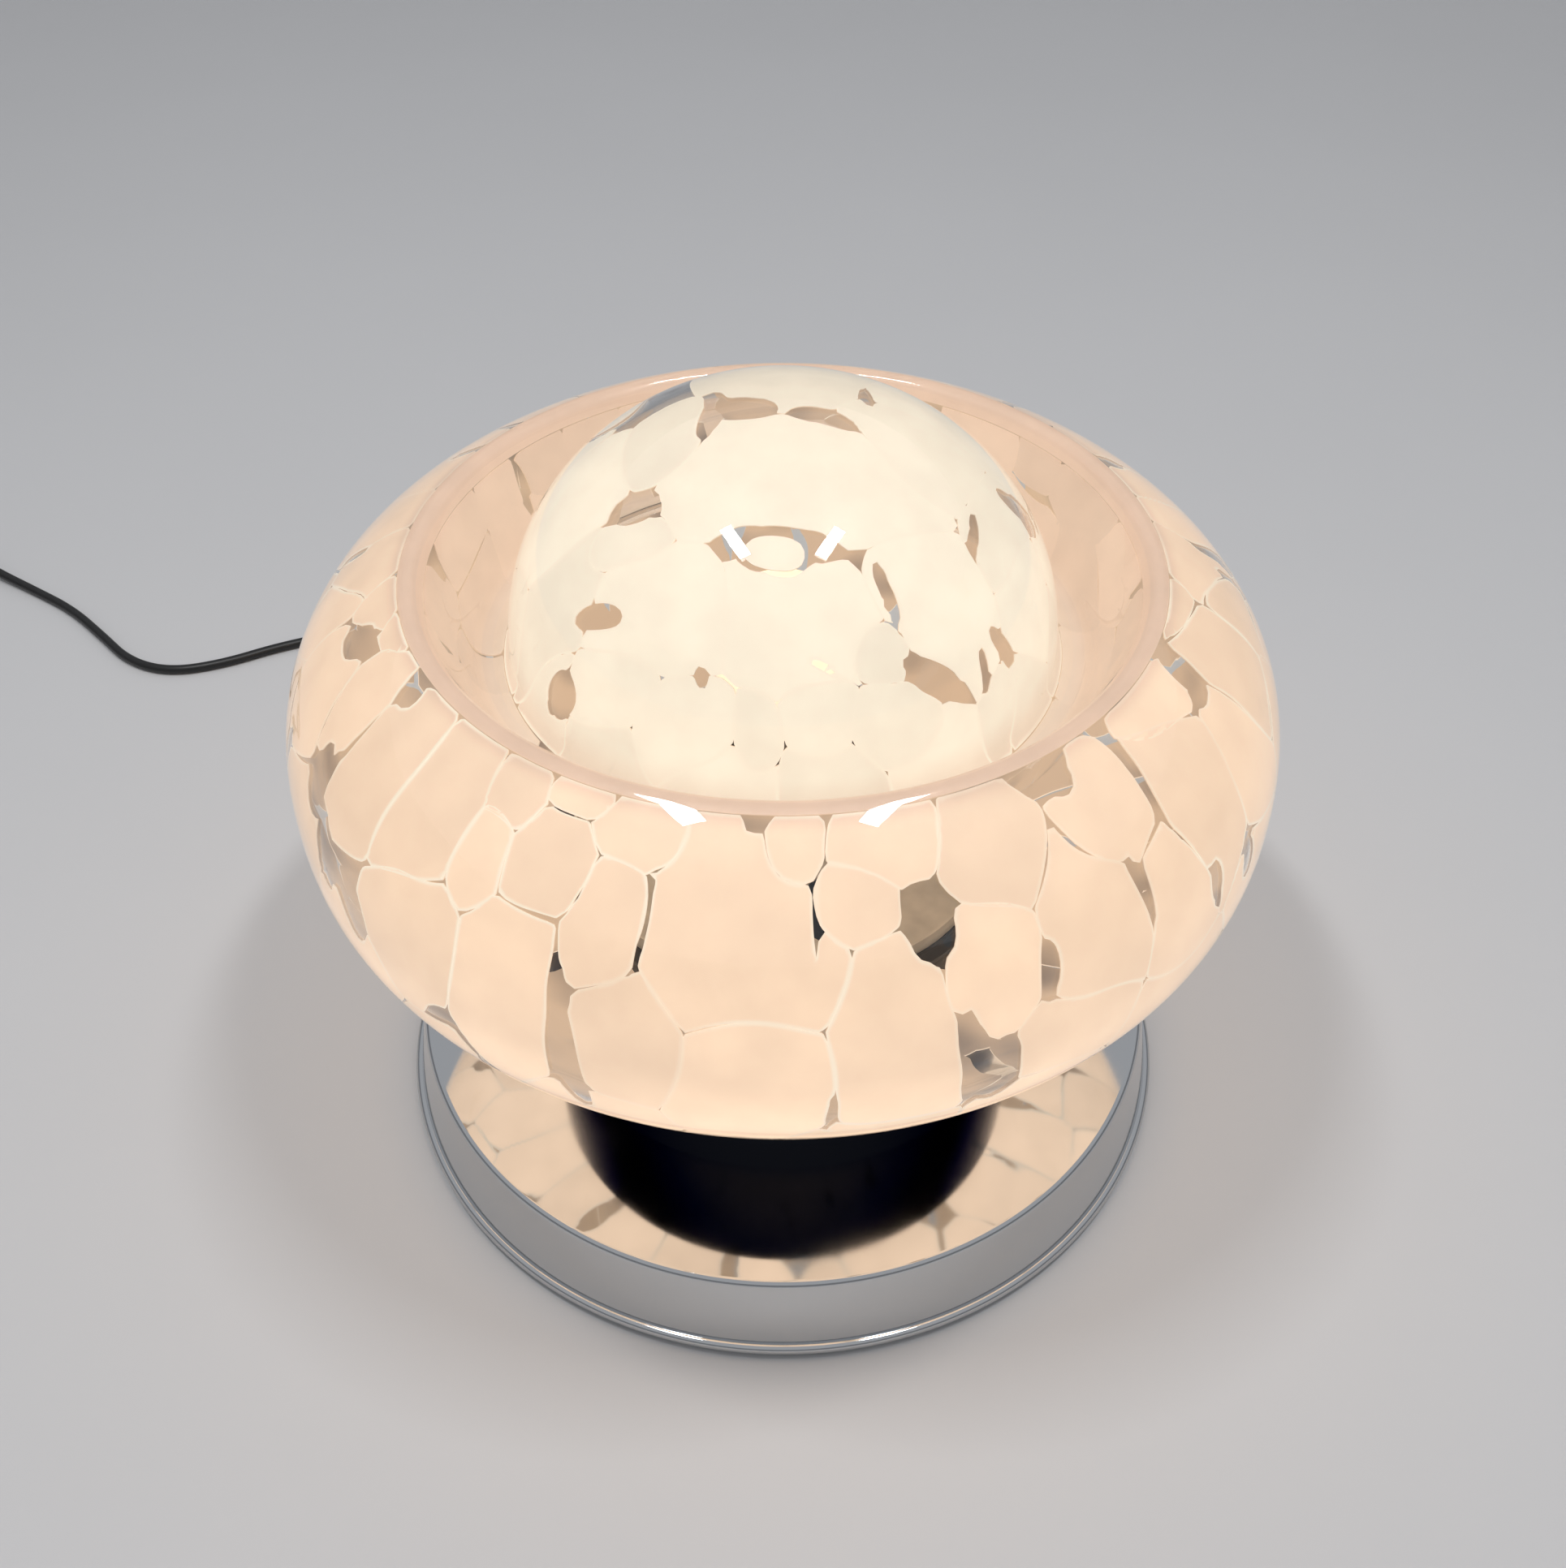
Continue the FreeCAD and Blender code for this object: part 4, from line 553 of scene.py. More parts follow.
def sheet_cells(field):
    """Corner places and faces of the part of a grid where the field is above 0, cut along its edge."""
    rows, columns = field.shape
    inside = field > 0
    numbers = {}
    places = []

    def number(key, place):
        if key not in numbers:
            numbers[key] = len(places)
            places.append(place)
        return numbers[key]

    faces = []
    edge = []
    busy = inside[:-1, :-1] | inside[1:, :-1] | inside[:-1, 1:] | inside[1:, 1:]
    for row, column in np.argwhere(busy):
        ring = [(row, column), (row, column + 1), (row + 1, column + 1), (row + 1, column)]
        face = []
        cut = []
        for step in range(4):
            here, onward = ring[step], ring[(step + 1) % 4]
            if inside[here]:
                face.append(number(here, (float(here[0]), float(here[1]), False)))
                cut.append(False)
            if inside[here] != inside[onward]:
                low, high = sorted((here, onward))
                share = field[low] / (field[low] - field[high])
                place = (low[0] + (high[0] - low[0]) * share, low[1] + (high[1] - low[1]) * share, True)
                face.append(number((low, high), place))
                cut.append(True)
        if len(face) < 3:
            continue
        faces.append(face)
        for step in range(len(face)):
            if cut[step] and cut[(step + 1) % len(face)]:
                edge.append((face[step], face[(step + 1) % len(face)]))
    return places, faces, edge


class Chart:
    """Places on the shade by two chart numbers and a depth under its outside."""

    def __init__(self):
        self.lengths, self.line, self.normals = shade_line()

    def at(self, length, depth):
        """Radius and height of places by their length up from the lip."""
        radius = np.interp(length, self.lengths, self.line[:, 0])
        height = np.interp(length, self.lengths, self.line[:, 1])
        out = np.interp(length, self.lengths, self.normals[:, 0])
        up = np.interp(length, self.lengths, self.normals[:, 1])
        return radius - out * depth, height - up * depth


class BodyChart(Chart):
    """Degrees from the front towards the right, and length up from the lip."""

    def scale(self, blotch):
        return float(self.at(blotch[1], 0)[0]) * math.pi / 180

    def nearest(self, across, rival):
        """The rival moved by full turns to the side where it is nearest."""
        return (rival[0] + 360 * round((across - rival[0]) / 360), *rival[1:])

    def width(self, across, up):
        return self.at(up, 0)[0] * math.pi / 180

    def length(self, across, up):
        return up

    def place(self, across, up, depth):
        radius, height = self.at(up, depth)
        turn = np.radians(across)
        return np.stack([radius * np.sin(turn), -radius * np.cos(turn), height], -1) * MM


class DomeChart(Chart):
    """Lengths to the right and to the back from the top of the dome."""

    def scale(self, blotch):
        return 1.0

    def nearest(self, across, rival):
        return rival

    def width(self, across, up):
        return np.ones_like(across)

    def length(self, across, up):
        return self.lengths[-1] - np.hypot(across, up)

    def place(self, across, up, depth):
        reach = np.maximum(np.hypot(across, up), 1e-6)
        radius, height = self.at(self.lengths[-1] - reach, depth)
        return np.stack([radius * across / reach, radius * up / reach, height], -1) * MM


def leaf_field(chart, blotches, index, gaps, grid_across, grid_up, reach_up):
    """A number for each place of a grid, above 0 inside one blotch and 0 on its edge."""
    blotch = blotches[index]
    island = blotch in ISLANDS
    scale = chart.scale(blotch)
    # The edge wanders by up to 3 mm to each side of an even oval.
    bent_across = grid_across + ripple(grid_across * scale, grid_up, 0) * 2.6 / scale
    bent_up = grid_up + ripple(grid_up, grid_across * scale, 3) * 3.0
    own = closeness(bent_across, bent_up, blotch, scale)
    # Opal that grew into its neighbours, but kept its own round edge beside a clear place.
    growth = np.full_like(own, 1.0 if island else SPREAD)
    cut = np.full_like(own, 9.0)
    for gap in gaps:
        if island or abs(gap[1] - blotch[1]) > gap[3] * 2 + reach_up:
            continue
        near = closeness(bent_across, bent_up, gap, chart.scale(gap))
        growth = np.minimum(growth, 1 + (SPREAD - 1) * np.clip((near - 1) / 0.6, 0, 1))
        cut = np.minimum(cut, (near - 0.85) * 0.2)
    field = np.minimum(growth - own, cut)
    for other, rival in enumerate(blotches):
        moved = chart.nearest(blotch[0], rival)
        apart = abs(moved[0] - blotch[0]) * scale
        too_far = apart > (blotch[2] + rival[2]) * scale * 1.5 + 20 or abs(rival[1] - blotch[1]) > 120
        if other == index or too_far:
            continue
        theirs = closeness(bent_across, bent_up, moved, chart.scale(rival))
        # Neighbours meet halfway, and stand back from an island.
        if island == (rival in ISLANDS):
            field = np.minimum(field, theirs - own)
        elif not island:
            field = np.minimum(field, theirs - 1.2)
    return field


def opal_mesh(name, chart, blotches, gaps, limits, top, layer, step):
    """Closed thin leaves of opal, one for each blotch, with the numbers that light them."""
    vertices = []
    faces = []
    values = {"rim": [], "glow": [], "tone": [], "inner": []}
    tones = np.random.default_rng(11).uniform(0, 1, len(blotches))
    offset = 0
    for index, blotch in enumerate(blotches):
        scale = chart.scale(blotch)
        reach_across = max(blotch[2] * scale, blotch[3] * 0.5) / scale * 1.2 * SPREAD
        reach_up = max(blotch[3], blotch[2] * scale * 0.5) * 1.2 * SPREAD
        across = np.arange(blotch[0] - reach_across, blotch[0] + reach_across, step / scale)
        up = np.arange(blotch[1] - reach_up, blotch[1] + reach_up, step)
        grid_across, grid_up = np.meshgrid(across, up)
        field = leaf_field(chart, blotches, index, gaps, grid_across, grid_up, reach_up)
        length = chart.length(grid_across, grid_up)
        field = np.minimum(field, np.minimum(length - limits[0], limits[1] - length) / 20)
        field[0, :] = field[-1, :] = -0.01
        field[:, 0] = field[:, -1] = -0.01
        if field.max() < SMALLEST_LEAF:
            continue
        slope_up, slope_across = np.gradient(field, step, step / scale)
        slope_across = slope_across / chart.width(grid_across, grid_up)
        distance = np.clip(field / np.maximum(np.hypot(slope_up, slope_across), 1e-4), 0, FAR_FROM_RIM)
        places, cells, edge = sheet_cells(field)
        spots = np.array(places)
        here_across = across[0] + spots[:, 1] * step / scale
        here_up = up[0] + spots[:, 0] * step
        rows = spots[:, 0].round().astype(int).clip(0, field.shape[0] - 1)
        columns = spots[:, 1].round().astype(int).clip(0, field.shape[1] - 1)
        count = len(spots)
        for side, depth in ((0.0, top), (1.0, top + layer)):
            vertices.append(chart.place(here_across, here_up, depth))
            values["rim"].append(np.where(spots[:, 2] > 0, 0, distance[rows, columns]))
            values["glow"].append(chart.length(here_across, here_up))
            values["tone"].append(np.full(count, tones[index]))
            values["inner"].append(np.full(count, side))
        for cell in cells:
            faces.append([offset + corner for corner in cell])
            faces.append([offset + count + corner for corner in reversed(cell)])
        faces += [[offset + second, offset + first, offset + count + first, offset + count + second]
                  for first, second in edge]
        offset += count * 2
    mesh = mesh_of(name, np.concatenate(vertices), faces)
    give_values(mesh, {label: np.concatenate(numbers) for label, numbers in values.items()})
    return smoothed(mesh)


def opal_band(name, chart, limits, top, layer, segments):
    """An even ring of opal all the way round, between two lengths up from the lip."""
    lengths = np.linspace(*limits, 12)
    outline = np.r_[lengths, lengths[::-1]]
    inner = np.repeat([0.0, 1.0], len(lengths))
    turns = np.arange(segments) * 360 / segments
    places = [chart.place(turns, np.full(segments, length), top + layer * side)
              for length, side in zip(outline, inner)]
    mesh = mesh_of(name, np.concatenate(places), ring_faces(len(outline), segments))
    count = len(outline) * segments
    give_values(mesh, {"rim": np.full(count, FAR_FROM_RIM), "glow": np.repeat(outline, segments),
                       "tone": np.full(count, 0.5), "inner": np.repeat(inner, segments)})
    smoothed(mesh)
    face_out(mesh)
    return mesh


# Finishes


def clear_glass():
    """Mouth-blown clear glass: smooth, bright, with slow waves that bend what shows through it."""
    material, tree, shader, place = finish("blown_clear_glass", Base_Color=opaque("#FDFDFB"), Roughness=0.0,
                                           IOR=1.5, Transmission_Weight=1.0)
    waves = add(tree, "ShaderNodeTexNoise", {"Vector": place, "Scale": per_metre(41.7), "Detail": 1.5})
    feed(shader, {"Normal": add(tree, "ShaderNodeBump", {"Height": waves, "Strength": 0.25,
                                                         "Distance": 1.2 * MM})})
    return material


def lit_outside(tree, place, length, tone):
    """Colour of the lit opal by the length up from the lip: cloudy, and uneven from blotch to blotch."""
    sizes = bpy.context.scene.lamp_shade
    body, fold, valley, dome = (tuple(colour) for colour in (
        sizes.body_colour, sizes.fold_colour, sizes.valley_colour, sizes.dome_colour))
    # Painted light and shade: the underside is nearest to the bulb and is painted brighter than the rest. The
    # valley is painted darker where the bulb reaches less, and so is the folded ring, which is partly darker
    # for its thicker glass.
    lip, underside = (tuple(part * level for part in body) for level in (1.6, 1.4))
    share = add(tree, "ShaderNodeMapRange", {"Value": length, "From Min": 0.0, "From Max": SHADE_LENGTH})
    painted_glow = add(tree, "ShaderNodeValToRGB", {"Fac": share})
    stops = ((0, lip), (100, underside), (150, body), (238, body), (245, fold), (255, fold), (262, valley),
             (296, valley), (325, dome), (SHADE_LENGTH, dome))
    set_stops(painted_glow, *((up / SHADE_LENGTH, colour) for up, colour in stops))
    cloud = add(tree, "ShaderNodeTexNoise", {"Vector": place, "Scale": per_metre(18.2), "Detail": 3.0})
    cloudy = add(tree, "ShaderNodeMapRange", {"Value": cloud, "From Min": 0.3, "From Max": 0.7,
                                              "To Min": 0.93, "To Max": 1.03})
    toned = add(tree, "ShaderNodeMapRange", {"Value": tone, "To Min": 0.93, "To Max": 1.06})
    level = add(tree, "ShaderNodeMath", {0: cloudy, 1: toned}, operation="MULTIPLY")
    return add(tree, "ShaderNodeVectorMath", {0: painted_glow, "Scale": level}, operation="SCALE")


def rim_line(tree, place, rim, length):
    """Brightness of the line at the rim of a blotch, which fades inwards and here and there along its way."""
    near = add(tree, "ShaderNodeMapRange", {"Value": rim, "From Min": 0.2, "From Max": 1.7,
                                            "To Min": 1.0, "To Max": 0.0}, interpolation_type="SMOOTHSTEP")
    fading = add(tree, "ShaderNodeTexNoise", {"Vector": place, "Scale": per_metre(71.4), "Detail": 1.0})
    faded = add(tree, "ShaderNodeMapRange", {"Value": fading, "From Min": 0.4, "From Max": 0.6,
                                             "To Min": 0.35, "To Max": 1.0})
    patchy = add(tree, "ShaderNodeMath", {0: near, 1: faded}, operation="MULTIPLY")
    folded = add(tree, "ShaderNodeMath", {0: length, 1: VALLEY_MIDDLE, 2: VALLEY_HALF}, operation="COMPARE")
    plainer = add(tree, "ShaderNodeMath", {0: 1.0, 1: folded}, operation="SUBTRACT")
    return add(tree, "ShaderNodeMath", {0: patchy, 1: plainer}, operation="MULTIPLY")


def opal_glass():
    """Opal glass melted into the clear, lit by the bulb: even and milky, with a bright line at its rim."""
    material, tree, shader, place = finish("opal_glass", Base_Color=opaque("#93877A"), Roughness=0.35,
                                           IOR=1.5, Emission_Strength=0.83)
    rim, length, tone, inner = (add(tree, "ShaderNodeAttribute", attribute_name=label).outputs["Fac"]
                                for label in ("rim", "glow", "tone", "inner"))
    rimmed = add(tree, "ShaderNodeMix", {MIX_SHARE: rim_line(tree, place, rim, length),
                                         MIX_FIRST: lit_outside(tree, place, length, tone),
                                         MIX_SECOND: opaque("#FFF0DA")}, data_type="RGBA")
    # The inner side shows through the clear places, with streaks of shade.
    across = add(tree, "ShaderNodeTexNoise", {"Vector": place, "Scale": per_metre(35.7), "Detail": 1.0})
    streaked = add(tree, "ShaderNodeValToRGB", {"Fac": across})
    set_stops(streaked, (0.3, linear("#85756A")), (0.52, bpy.context.scene.lamp_shade.inner_colour))
    sided = add(tree, "ShaderNodeMix", {MIX_SHARE: inner, MIX_FIRST: rimmed.outputs[MIX_RESULT],
                                        MIX_SECOND: streaked}, data_type="RGBA")
    feed(shader, {"Emission Color": sided.outputs[MIX_RESULT]})
    return material


def chrome_plate():
    """Chromium plate on spun steel: mirror bright and cool, with faint wiping marks."""
    colour = bpy.context.scene.lamp_metal.chrome_colour
    material, tree, shader, place = finish("chromium_plate", Base_Color=(*colour, 1), Metallic=1.0)
    wiping = add(tree, "ShaderNodeTexNoise", {"Vector": place, "Scale": per_metre(55.6), "Detail": 4.0})
    feed(shader, {"Roughness": add(tree, "ShaderNodeMapRange", {
        "Value": wiping, "From Min": 0.35, "From Max": 0.75, "To Min": 0.03, "To Max": 0.11})})
    return material


def black_nickel():
    """Black nickel plate on a spun drum: nearly black, with a mirror gloss and faint turning marks."""
    material, tree, shader, place = finish("black_nickel_plate", Base_Color=opaque("#28292D"), Metallic=1.0,
                                           Specular_Tint=opaque("#9A9AA2"))
    apart = add(tree, "ShaderNodeSeparateXYZ", {0: place})
    # Turning marks about 1.5 mm apart, drawn coarser than real ones so that they show.
    marks = add(tree, "ShaderNodeTexNoise", {"W": apart.outputs["Z"], "Scale": per_metre(1.515),
                                             "Detail": 2.0}, noise_dimensions="1D")
    feed(shader, {"Roughness": add(tree, "ShaderNodeMapRange", {
        "Value": marks, "From Min": 0.3, "From Max": 0.7, "To Min": 0.08, "To Max": 0.16})})
    return material


def plain_finish(name, colour, roughness, metallic=0.0, grain=2.5, depth=0.05, **more):
    """A slightly uneven colour, with a grain of a size and depth in millimetres, coarse enough to show."""
    material, tree, shader, place = finish(name, Roughness=roughness, Metallic=metallic, **more)
    uneven = add(tree, "ShaderNodeTexNoise", {"Vector": place, "Scale": per_metre(grain * 6), "Detail": 3.0})
    shade = add(tree, "ShaderNodeValToRGB", {"Fac": uneven})
    base = linear(colour)
    set_stops(shade, (0.3, [part * 0.82 for part in base]), (0.7, [min(part * 1.12, 1) for part in base]))
    fine = add(tree, "ShaderNodeTexNoise", {"Vector": place, "Scale": per_metre(grain), "Detail": 2.0})
    bump = add(tree, "ShaderNodeBump", {"Height": fine, "Strength": 0.4, "Distance": depth * MM})
    feed(shader, {"Base Color": shade, "Normal": bump})
    return material


def lit_bulb():
    """Frosted bulb glass with the lamp lit behind it: a soft, even and warm white."""
    material, tree, shader, place = finish("frosted_bulb_glass", Base_Color=opaque("#F4EEE4"), Roughness=0.5,
                                           Emission_Strength=0.9)
    frost = add(tree, "ShaderNodeTexNoise", {"Vector": place, "Scale": per_metre(8.33)})
    warm = add(tree, "ShaderNodeValToRGB", {"Fac": frost})
    set_stops(warm, (0, linear("#FFE2B8")), (1, linear("#FFF0D8")))
    feed(shader, {"Emission Color": warm})
    return material


def woven_strap():
    """Woven black nylon: dull, with checks of 1 mm for its weave."""
    material, tree, shader, place = finish("black_nylon_strap", Roughness=0.75, Sheen_Weight=0.2)
    feed(shader, {"Base Color": add(tree, "ShaderNodeTexChecker", {
        "Vector": place, "Scale": per_metre(1), "Color1": opaque("#1E1E20"), "Color2": opaque("#2A2A2D")})})
    return material


def studio_paper(colour):
    """Matt studio paper: pale, with clouds so soft that they hardly show."""
    material, tree, shader, place = finish("matt_studio_paper", Roughness=0.85)
    fibre = add(tree, "ShaderNodeTexNoise", {"Vector": place, "Scale": per_metre(333), "Detail": 6.0})
    tint = add(tree, "ShaderNodeValToRGB", {"Fac": fibre})
    set_stops(tint, (0, [part * 0.97 for part in colour]), (1, [part * 1.02 for part in colour]))
    feed(shader, {"Base Color": tint})
    return material


# Cord


# The route of the cord out of its gland, down behind the lamp and to its left, in metres.
LEAD_ROUTE = [
    (0, 0.19772, 0.02836), (0, 0.22331, 0.03295), (-0.005, 0.247, 0.0275), (-0.017, 0.270, 0.020),
    (-0.038, 0.289, 0.0115), (-0.066, 0.303, 0.0055), (-0.102, 0.313, 0.0029), (-0.144, 0.320, 0.0029),
    (-0.190, 0.3235, 0.0029), (-0.236, 0.322, 0.0029), (-0.279, 0.3155, 0.0029), (-0.316, 0.3025, 0.0029),
    (-0.348, 0.285, 0.0029), (-0.379, 0.277, 0.0029), (-0.407, 0.2875, 0.0029), (-0.431, 0.313, 0.0029),
    (-0.459, 0.341, 0.0029), (-0.491, 0.3625, 0.0029), (-0.522, 0.381, 0.005),
    (-0.5485, 0.39901, 0.009), (-0.572, 0.404, 0.009),
]
LINK_ROUTE = [(-0.63265, 0.41689, 0.009), (-0.65612, 0.42188, 0.009), (-0.682, 0.420, 0.006),
              (-0.701, 0.404, 0.0034)]
TAIL_ROUTE = [(-0.625, 0.3035, 0.008), (-0.604, 0.299, 0.00685)]
COIL_MIDDLE = (-0.670, 0.343)
PLUG_NOSE = (-0.560, 0.289, 0.00685)
PLUG_HEADING = -13
GLAND_OUT = (0, 0.98429, 0.17656)

# The ribs of the two strain reliefs: how far behind the end of the cord's route they start, where a
# number under 0 is past it, and the radius of the first and of the last.
RIB_COUNT = 7
RIBS_LENGTH = 0.0165
RIB_ROUND = 0.00055
GLAND_RIBS = (0.0195, 0.0055, 0.0044)
PLUG_RIBS = (-0.0025, 0.0048, 0.0038)

# The coil lies in two layers, and its cord's middle is this far over the table.
COIL_RADIUS = 0.031
COIL_PITCH = 0.0062
COIL_LOW = 0.0029

# The strap's inside is this far from the middle of the coil and over the table, in millimetres.
TIE_NEAR, TIE_FAR = 21.1, 40.9
TIE_LOW, TIE_HIGH = 0.1, 12.4
TIE_UNDER = 0.05
TIE_WIDTH = 9
TIE_THICKNESS = 0.6
TIE_ANGLE = 62


def coil_route(turns):
    """Two piled layers of turns, in to the middle and out again."""
    each = 12
    outer = COIL_RADIUS + COIL_PITCH * turns / 4
    points = []
    for step in range(int(turns * each) + 1):
        travelled = step / each
        inward = turns / 2 - abs(travelled - turns / 2)
        # The cord touches the middles of the lines between its points, so these stand a little outside.
        radius = (outer - COIL_PITCH * inward) / math.cos(math.pi / each)
        climb = min(1, max(0, (travelled - turns / 2) / 0.5 + 0.5))
        angle = math.pi + travelled * math.tau
        points.append((COIL_MIDDLE[0] + math.cos(angle) * radius, COIL_MIDDLE[1] + math.sin(angle) * radius,
                       COIL_LOW + COIL_PITCH * climb * climb * (3 - 2 * climb)))
    return points


def cord_curve(name, route, diameter):
    """A round cord along a route."""
    data = bpy.data.curves.new(name, "CURVE")
    data.dimensions = "3D"
    data.bevel_depth = diameter / 2
    data.bevel_resolution = 6
    data.use_fill_caps = True
    spline = data.splines.new("NURBS")
    spline.points.add(len(route) - 1)
    for point, place in zip(spline.points, route):
        point.co = (*place, 1)
    spline.order_u = 3
    spline.use_endpoint_u = True
    spline.resolution_u = 10
    made = bpy.data.objects.new(name, data)
    bpy.context.scene.collection.objects.link(made)
    return made


def cord_line(curve):
    """The smooth line of a cord's spline, read from the curve without its thickness."""
    bare = curve.copy()
    bare.data = curve.data.copy()
    bare.data.bevel_depth = 0
    bpy.context.scene.collection.objects.link(bare)
    graph = bpy.context.evaluated_depsgraph_get()
    mesh = bpy.data.meshes.new_from_object(bare.evaluated_get(graph))
    points = [vertex.co.copy() for vertex in mesh.vertices]
    bpy.data.meshes.remove(mesh)
    bpy.data.objects.remove(bare)
    return points


def line_length(points):
    """Length of a line through points."""
    return sum((second - first).length for first, second in zip(points, points[1:]))


def ribs_tree():
    """Round ribs along Z that grow or shrink evenly from the first to the last."""
    tree, given = new_tree("strain_relief_ribs", Count=("Int", 6), Length=("Float", 0.015),
                           First=("Float", 0.005), Last=("Float", 0.004), Thickness=("Float", 0.0006),
                           Finish=("Material", None))
    reach = add(tree, "ShaderNodeCombineXYZ", {"Z": given["Length"]})
    line = add(tree, "GeometryNodeMeshLine", {"Count": given["Count"], "Offset": reach}, mode="END_POINTS")
    last = add(tree, "ShaderNodeMath", {0: given["Count"], 1: 1.0}, operation="SUBTRACT")
    index = add(tree, "GeometryNodeInputIndex")
    share = add(tree, "ShaderNodeMath", {0: index, 1: last}, operation="DIVIDE")
    shrink = add(tree, "ShaderNodeMath", {0: given["Last"], 1: given["First"]}, operation="DIVIDE")
    size = add(tree, "ShaderNodeMapRange", {"Value": share, "To Min": 1.0, "To Max": shrink})
    guide = add(tree, "GeometryNodeCurvePrimitiveCircle", {"Resolution": 64, "Radius": given["First"]})
    section = add(tree, "GeometryNodeCurvePrimitiveCircle", {"Resolution": 12, "Radius": given["Thickness"]})
    ring = add(tree, "GeometryNodeCurveToMesh", {"Curve": guide, "Profile Curve": section})
    smooth = add(tree, "GeometryNodeSetShadeSmooth", {"Geometry": ring})
    ribs = add(tree, "GeometryNodeInstanceOnPoints", {"Points": line, "Instance": smooth, "Scale": size})
    end_tree(tree, ribs, given["Finish"])
    return tree


def tie_mesh(name, middle, angle, width, thick):
    """A flat strap closed round the bundle of the coil, thinner where it lies on the table."""
    inner = softened([(TIE_NEAR, TIE_LOW, 2.4), (TIE_FAR, TIE_LOW, 2.4),
                      (TIE_FAR, TIE_HIGH, 4), (TIE_NEAR, TIE_HIGH, 4)])
    near, far, low, high = TIE_NEAR - thick, TIE_FAR + thick, TIE_LOW - TIE_UNDER, TIE_HIGH + thick
    outer = softened([(near, low, 2.6), (far, low, 2.6), (far, high, 4 + thick), (near, high, 4 + thick)])
    out = Vector((math.cos(angle), math.sin(angle), 0))
    along = Vector((-out.y, out.x, 0))
    base = Vector((*middle, 0))
    corners = [(outer, -width / 2), (outer, width / 2), (inner, width / 2), (inner, -width / 2)]
    vertices = [base + (out * radius + along * side) * MM + Vector((0, 0, height * MM))
                for outline, side in corners for radius, height in outline]
    mesh = mesh_of(name, vertices, ring_faces(len(corners), len(outer)))
    face_out(mesh)
    return smoothed(mesh)


# Metal, in millimetres


SHEET = 1.5
# The outer line of the skirt runs through the bead's middle, and its inner face is this far inside it.
SKIRT_INSIDE = 1.476
BASE_HEIGHT = 43.0
BASE_RADIUS = 170.0
BASE_HOLE = 5.3
BEAD = (176.8, 5.1)
BEAD_ROUND = 2.6
DRUM_RADIUS = 114.0
DRUM_TOP = 134.0
DRUM_MOUTH = 80.0
DRUM_FLANGE = 104.5
DRUM_ROUND = 12.0


def base_outline():
    """The base's flat top and skirt, with the bead that is rolled at its foot."""
    skirt = math.atan2(BASE_HEIGHT - BEAD[1], BASE_RADIUS - BEAD[0])
    crossing = skirt + math.asin(SKIRT_INSIDE / BEAD_ROUND)
    rim = arc(BEAD, BEAD_ROUND, BEAD_ROUND, skirt, crossing - math.tau, 40)
    top = softened([(BASE_HOLE, BASE_HEIGHT, 0), (BASE_RADIUS, BASE_HEIGHT, 3), (*rim[0], 0)], 12)
    return top[:-1] + rim + [(BASE_RADIUS - SHEET, BASE_HEIGHT - SHEET), (BASE_HOLE, BASE_HEIGHT - SHEET)]


def drum_outline():
    """The drum's wall, its top turned in and its foot flanged on the base."""
    wall, top, foot = DRUM_RADIUS - SHEET, DRUM_TOP - SHEET, BASE_HEIGHT + SHEET
    return softened([(DRUM_FLANGE, BASE_HEIGHT, 0), (DRUM_FLANGE, foot, 0), (wall, foot, 0),
                     (wall, top, DRUM_ROUND - SHEET), (DRUM_MOUTH, top, 0), (DRUM_MOUTH, DRUM_TOP, 0),
                     (DRUM_RADIUS, DRUM_TOP, DRUM_ROUND), (DRUM_RADIUS, BASE_HEIGHT, 0)], 14)


# Studio, in metres and degrees


CAMERA_PLACE = (0, -0.5362, 0.6565)
CAMERA_PITCH = 47.4   # up from straight down
CAMERA_LENS = 38.68   # on a sensor 36 millimetres wide
SOFT_LAMPS = {"soft_lamp_left": (-0.47, -0.2, 1.9), "soft_lamp_right": (0.46, -0.2, 1.9)}
SOFT_LAMP_SIZE = (0.42, 0.12)
SOFT_LAMP_AIM = (0, 0, 0.15)


def floor_mesh(flat, sweep, wall, around=96):
    """A round floor that sweeps up all the way round into an upright backdrop."""
    profile = [(flat * step / 6, 0) for step in range(1, 7)]
    profile += arc((flat, sweep), sweep, sweep, -math.pi / 2, 0, 15)[1:]
    profile.append((flat + sweep, wall))
    turns = [math.tau * step / around for step in range(around)]
    places = [(0, 0, 0)]
    places += [(radius * math.cos(turn), radius * math.sin(turn), height)
               for radius, height in profile for turn in turns]
    faces = [(0, 1 + step, 1 + (step + 1) % around) for step in range(around)]
    faces += [tuple(1 + corner for corner in reversed(face))
              for face in ring_faces(len(profile), around, closed=False)]
    mesh = mesh_of("floor", places, faces)
    mesh.shade_smooth()
    return mesh


def soft_lamp(name, place, power):
    """A wide soft lamp head that looks at the middle of the lamp's foot."""
    data = bpy.data.lights.new(name, "AREA")
    data.shape = "RECTANGLE"
    data.size, data.size_y = SOFT_LAMP_SIZE
    data.energy = power
    made = bpy.data.objects.new(name, data)
    made.location = place
    toward = Vector(SOFT_LAMP_AIM) - made.location
    made.rotation_euler = toward.to_track_quat("-Z", "Y").to_euler()
    bpy.context.scene.collection.objects.link(made)


# Operators


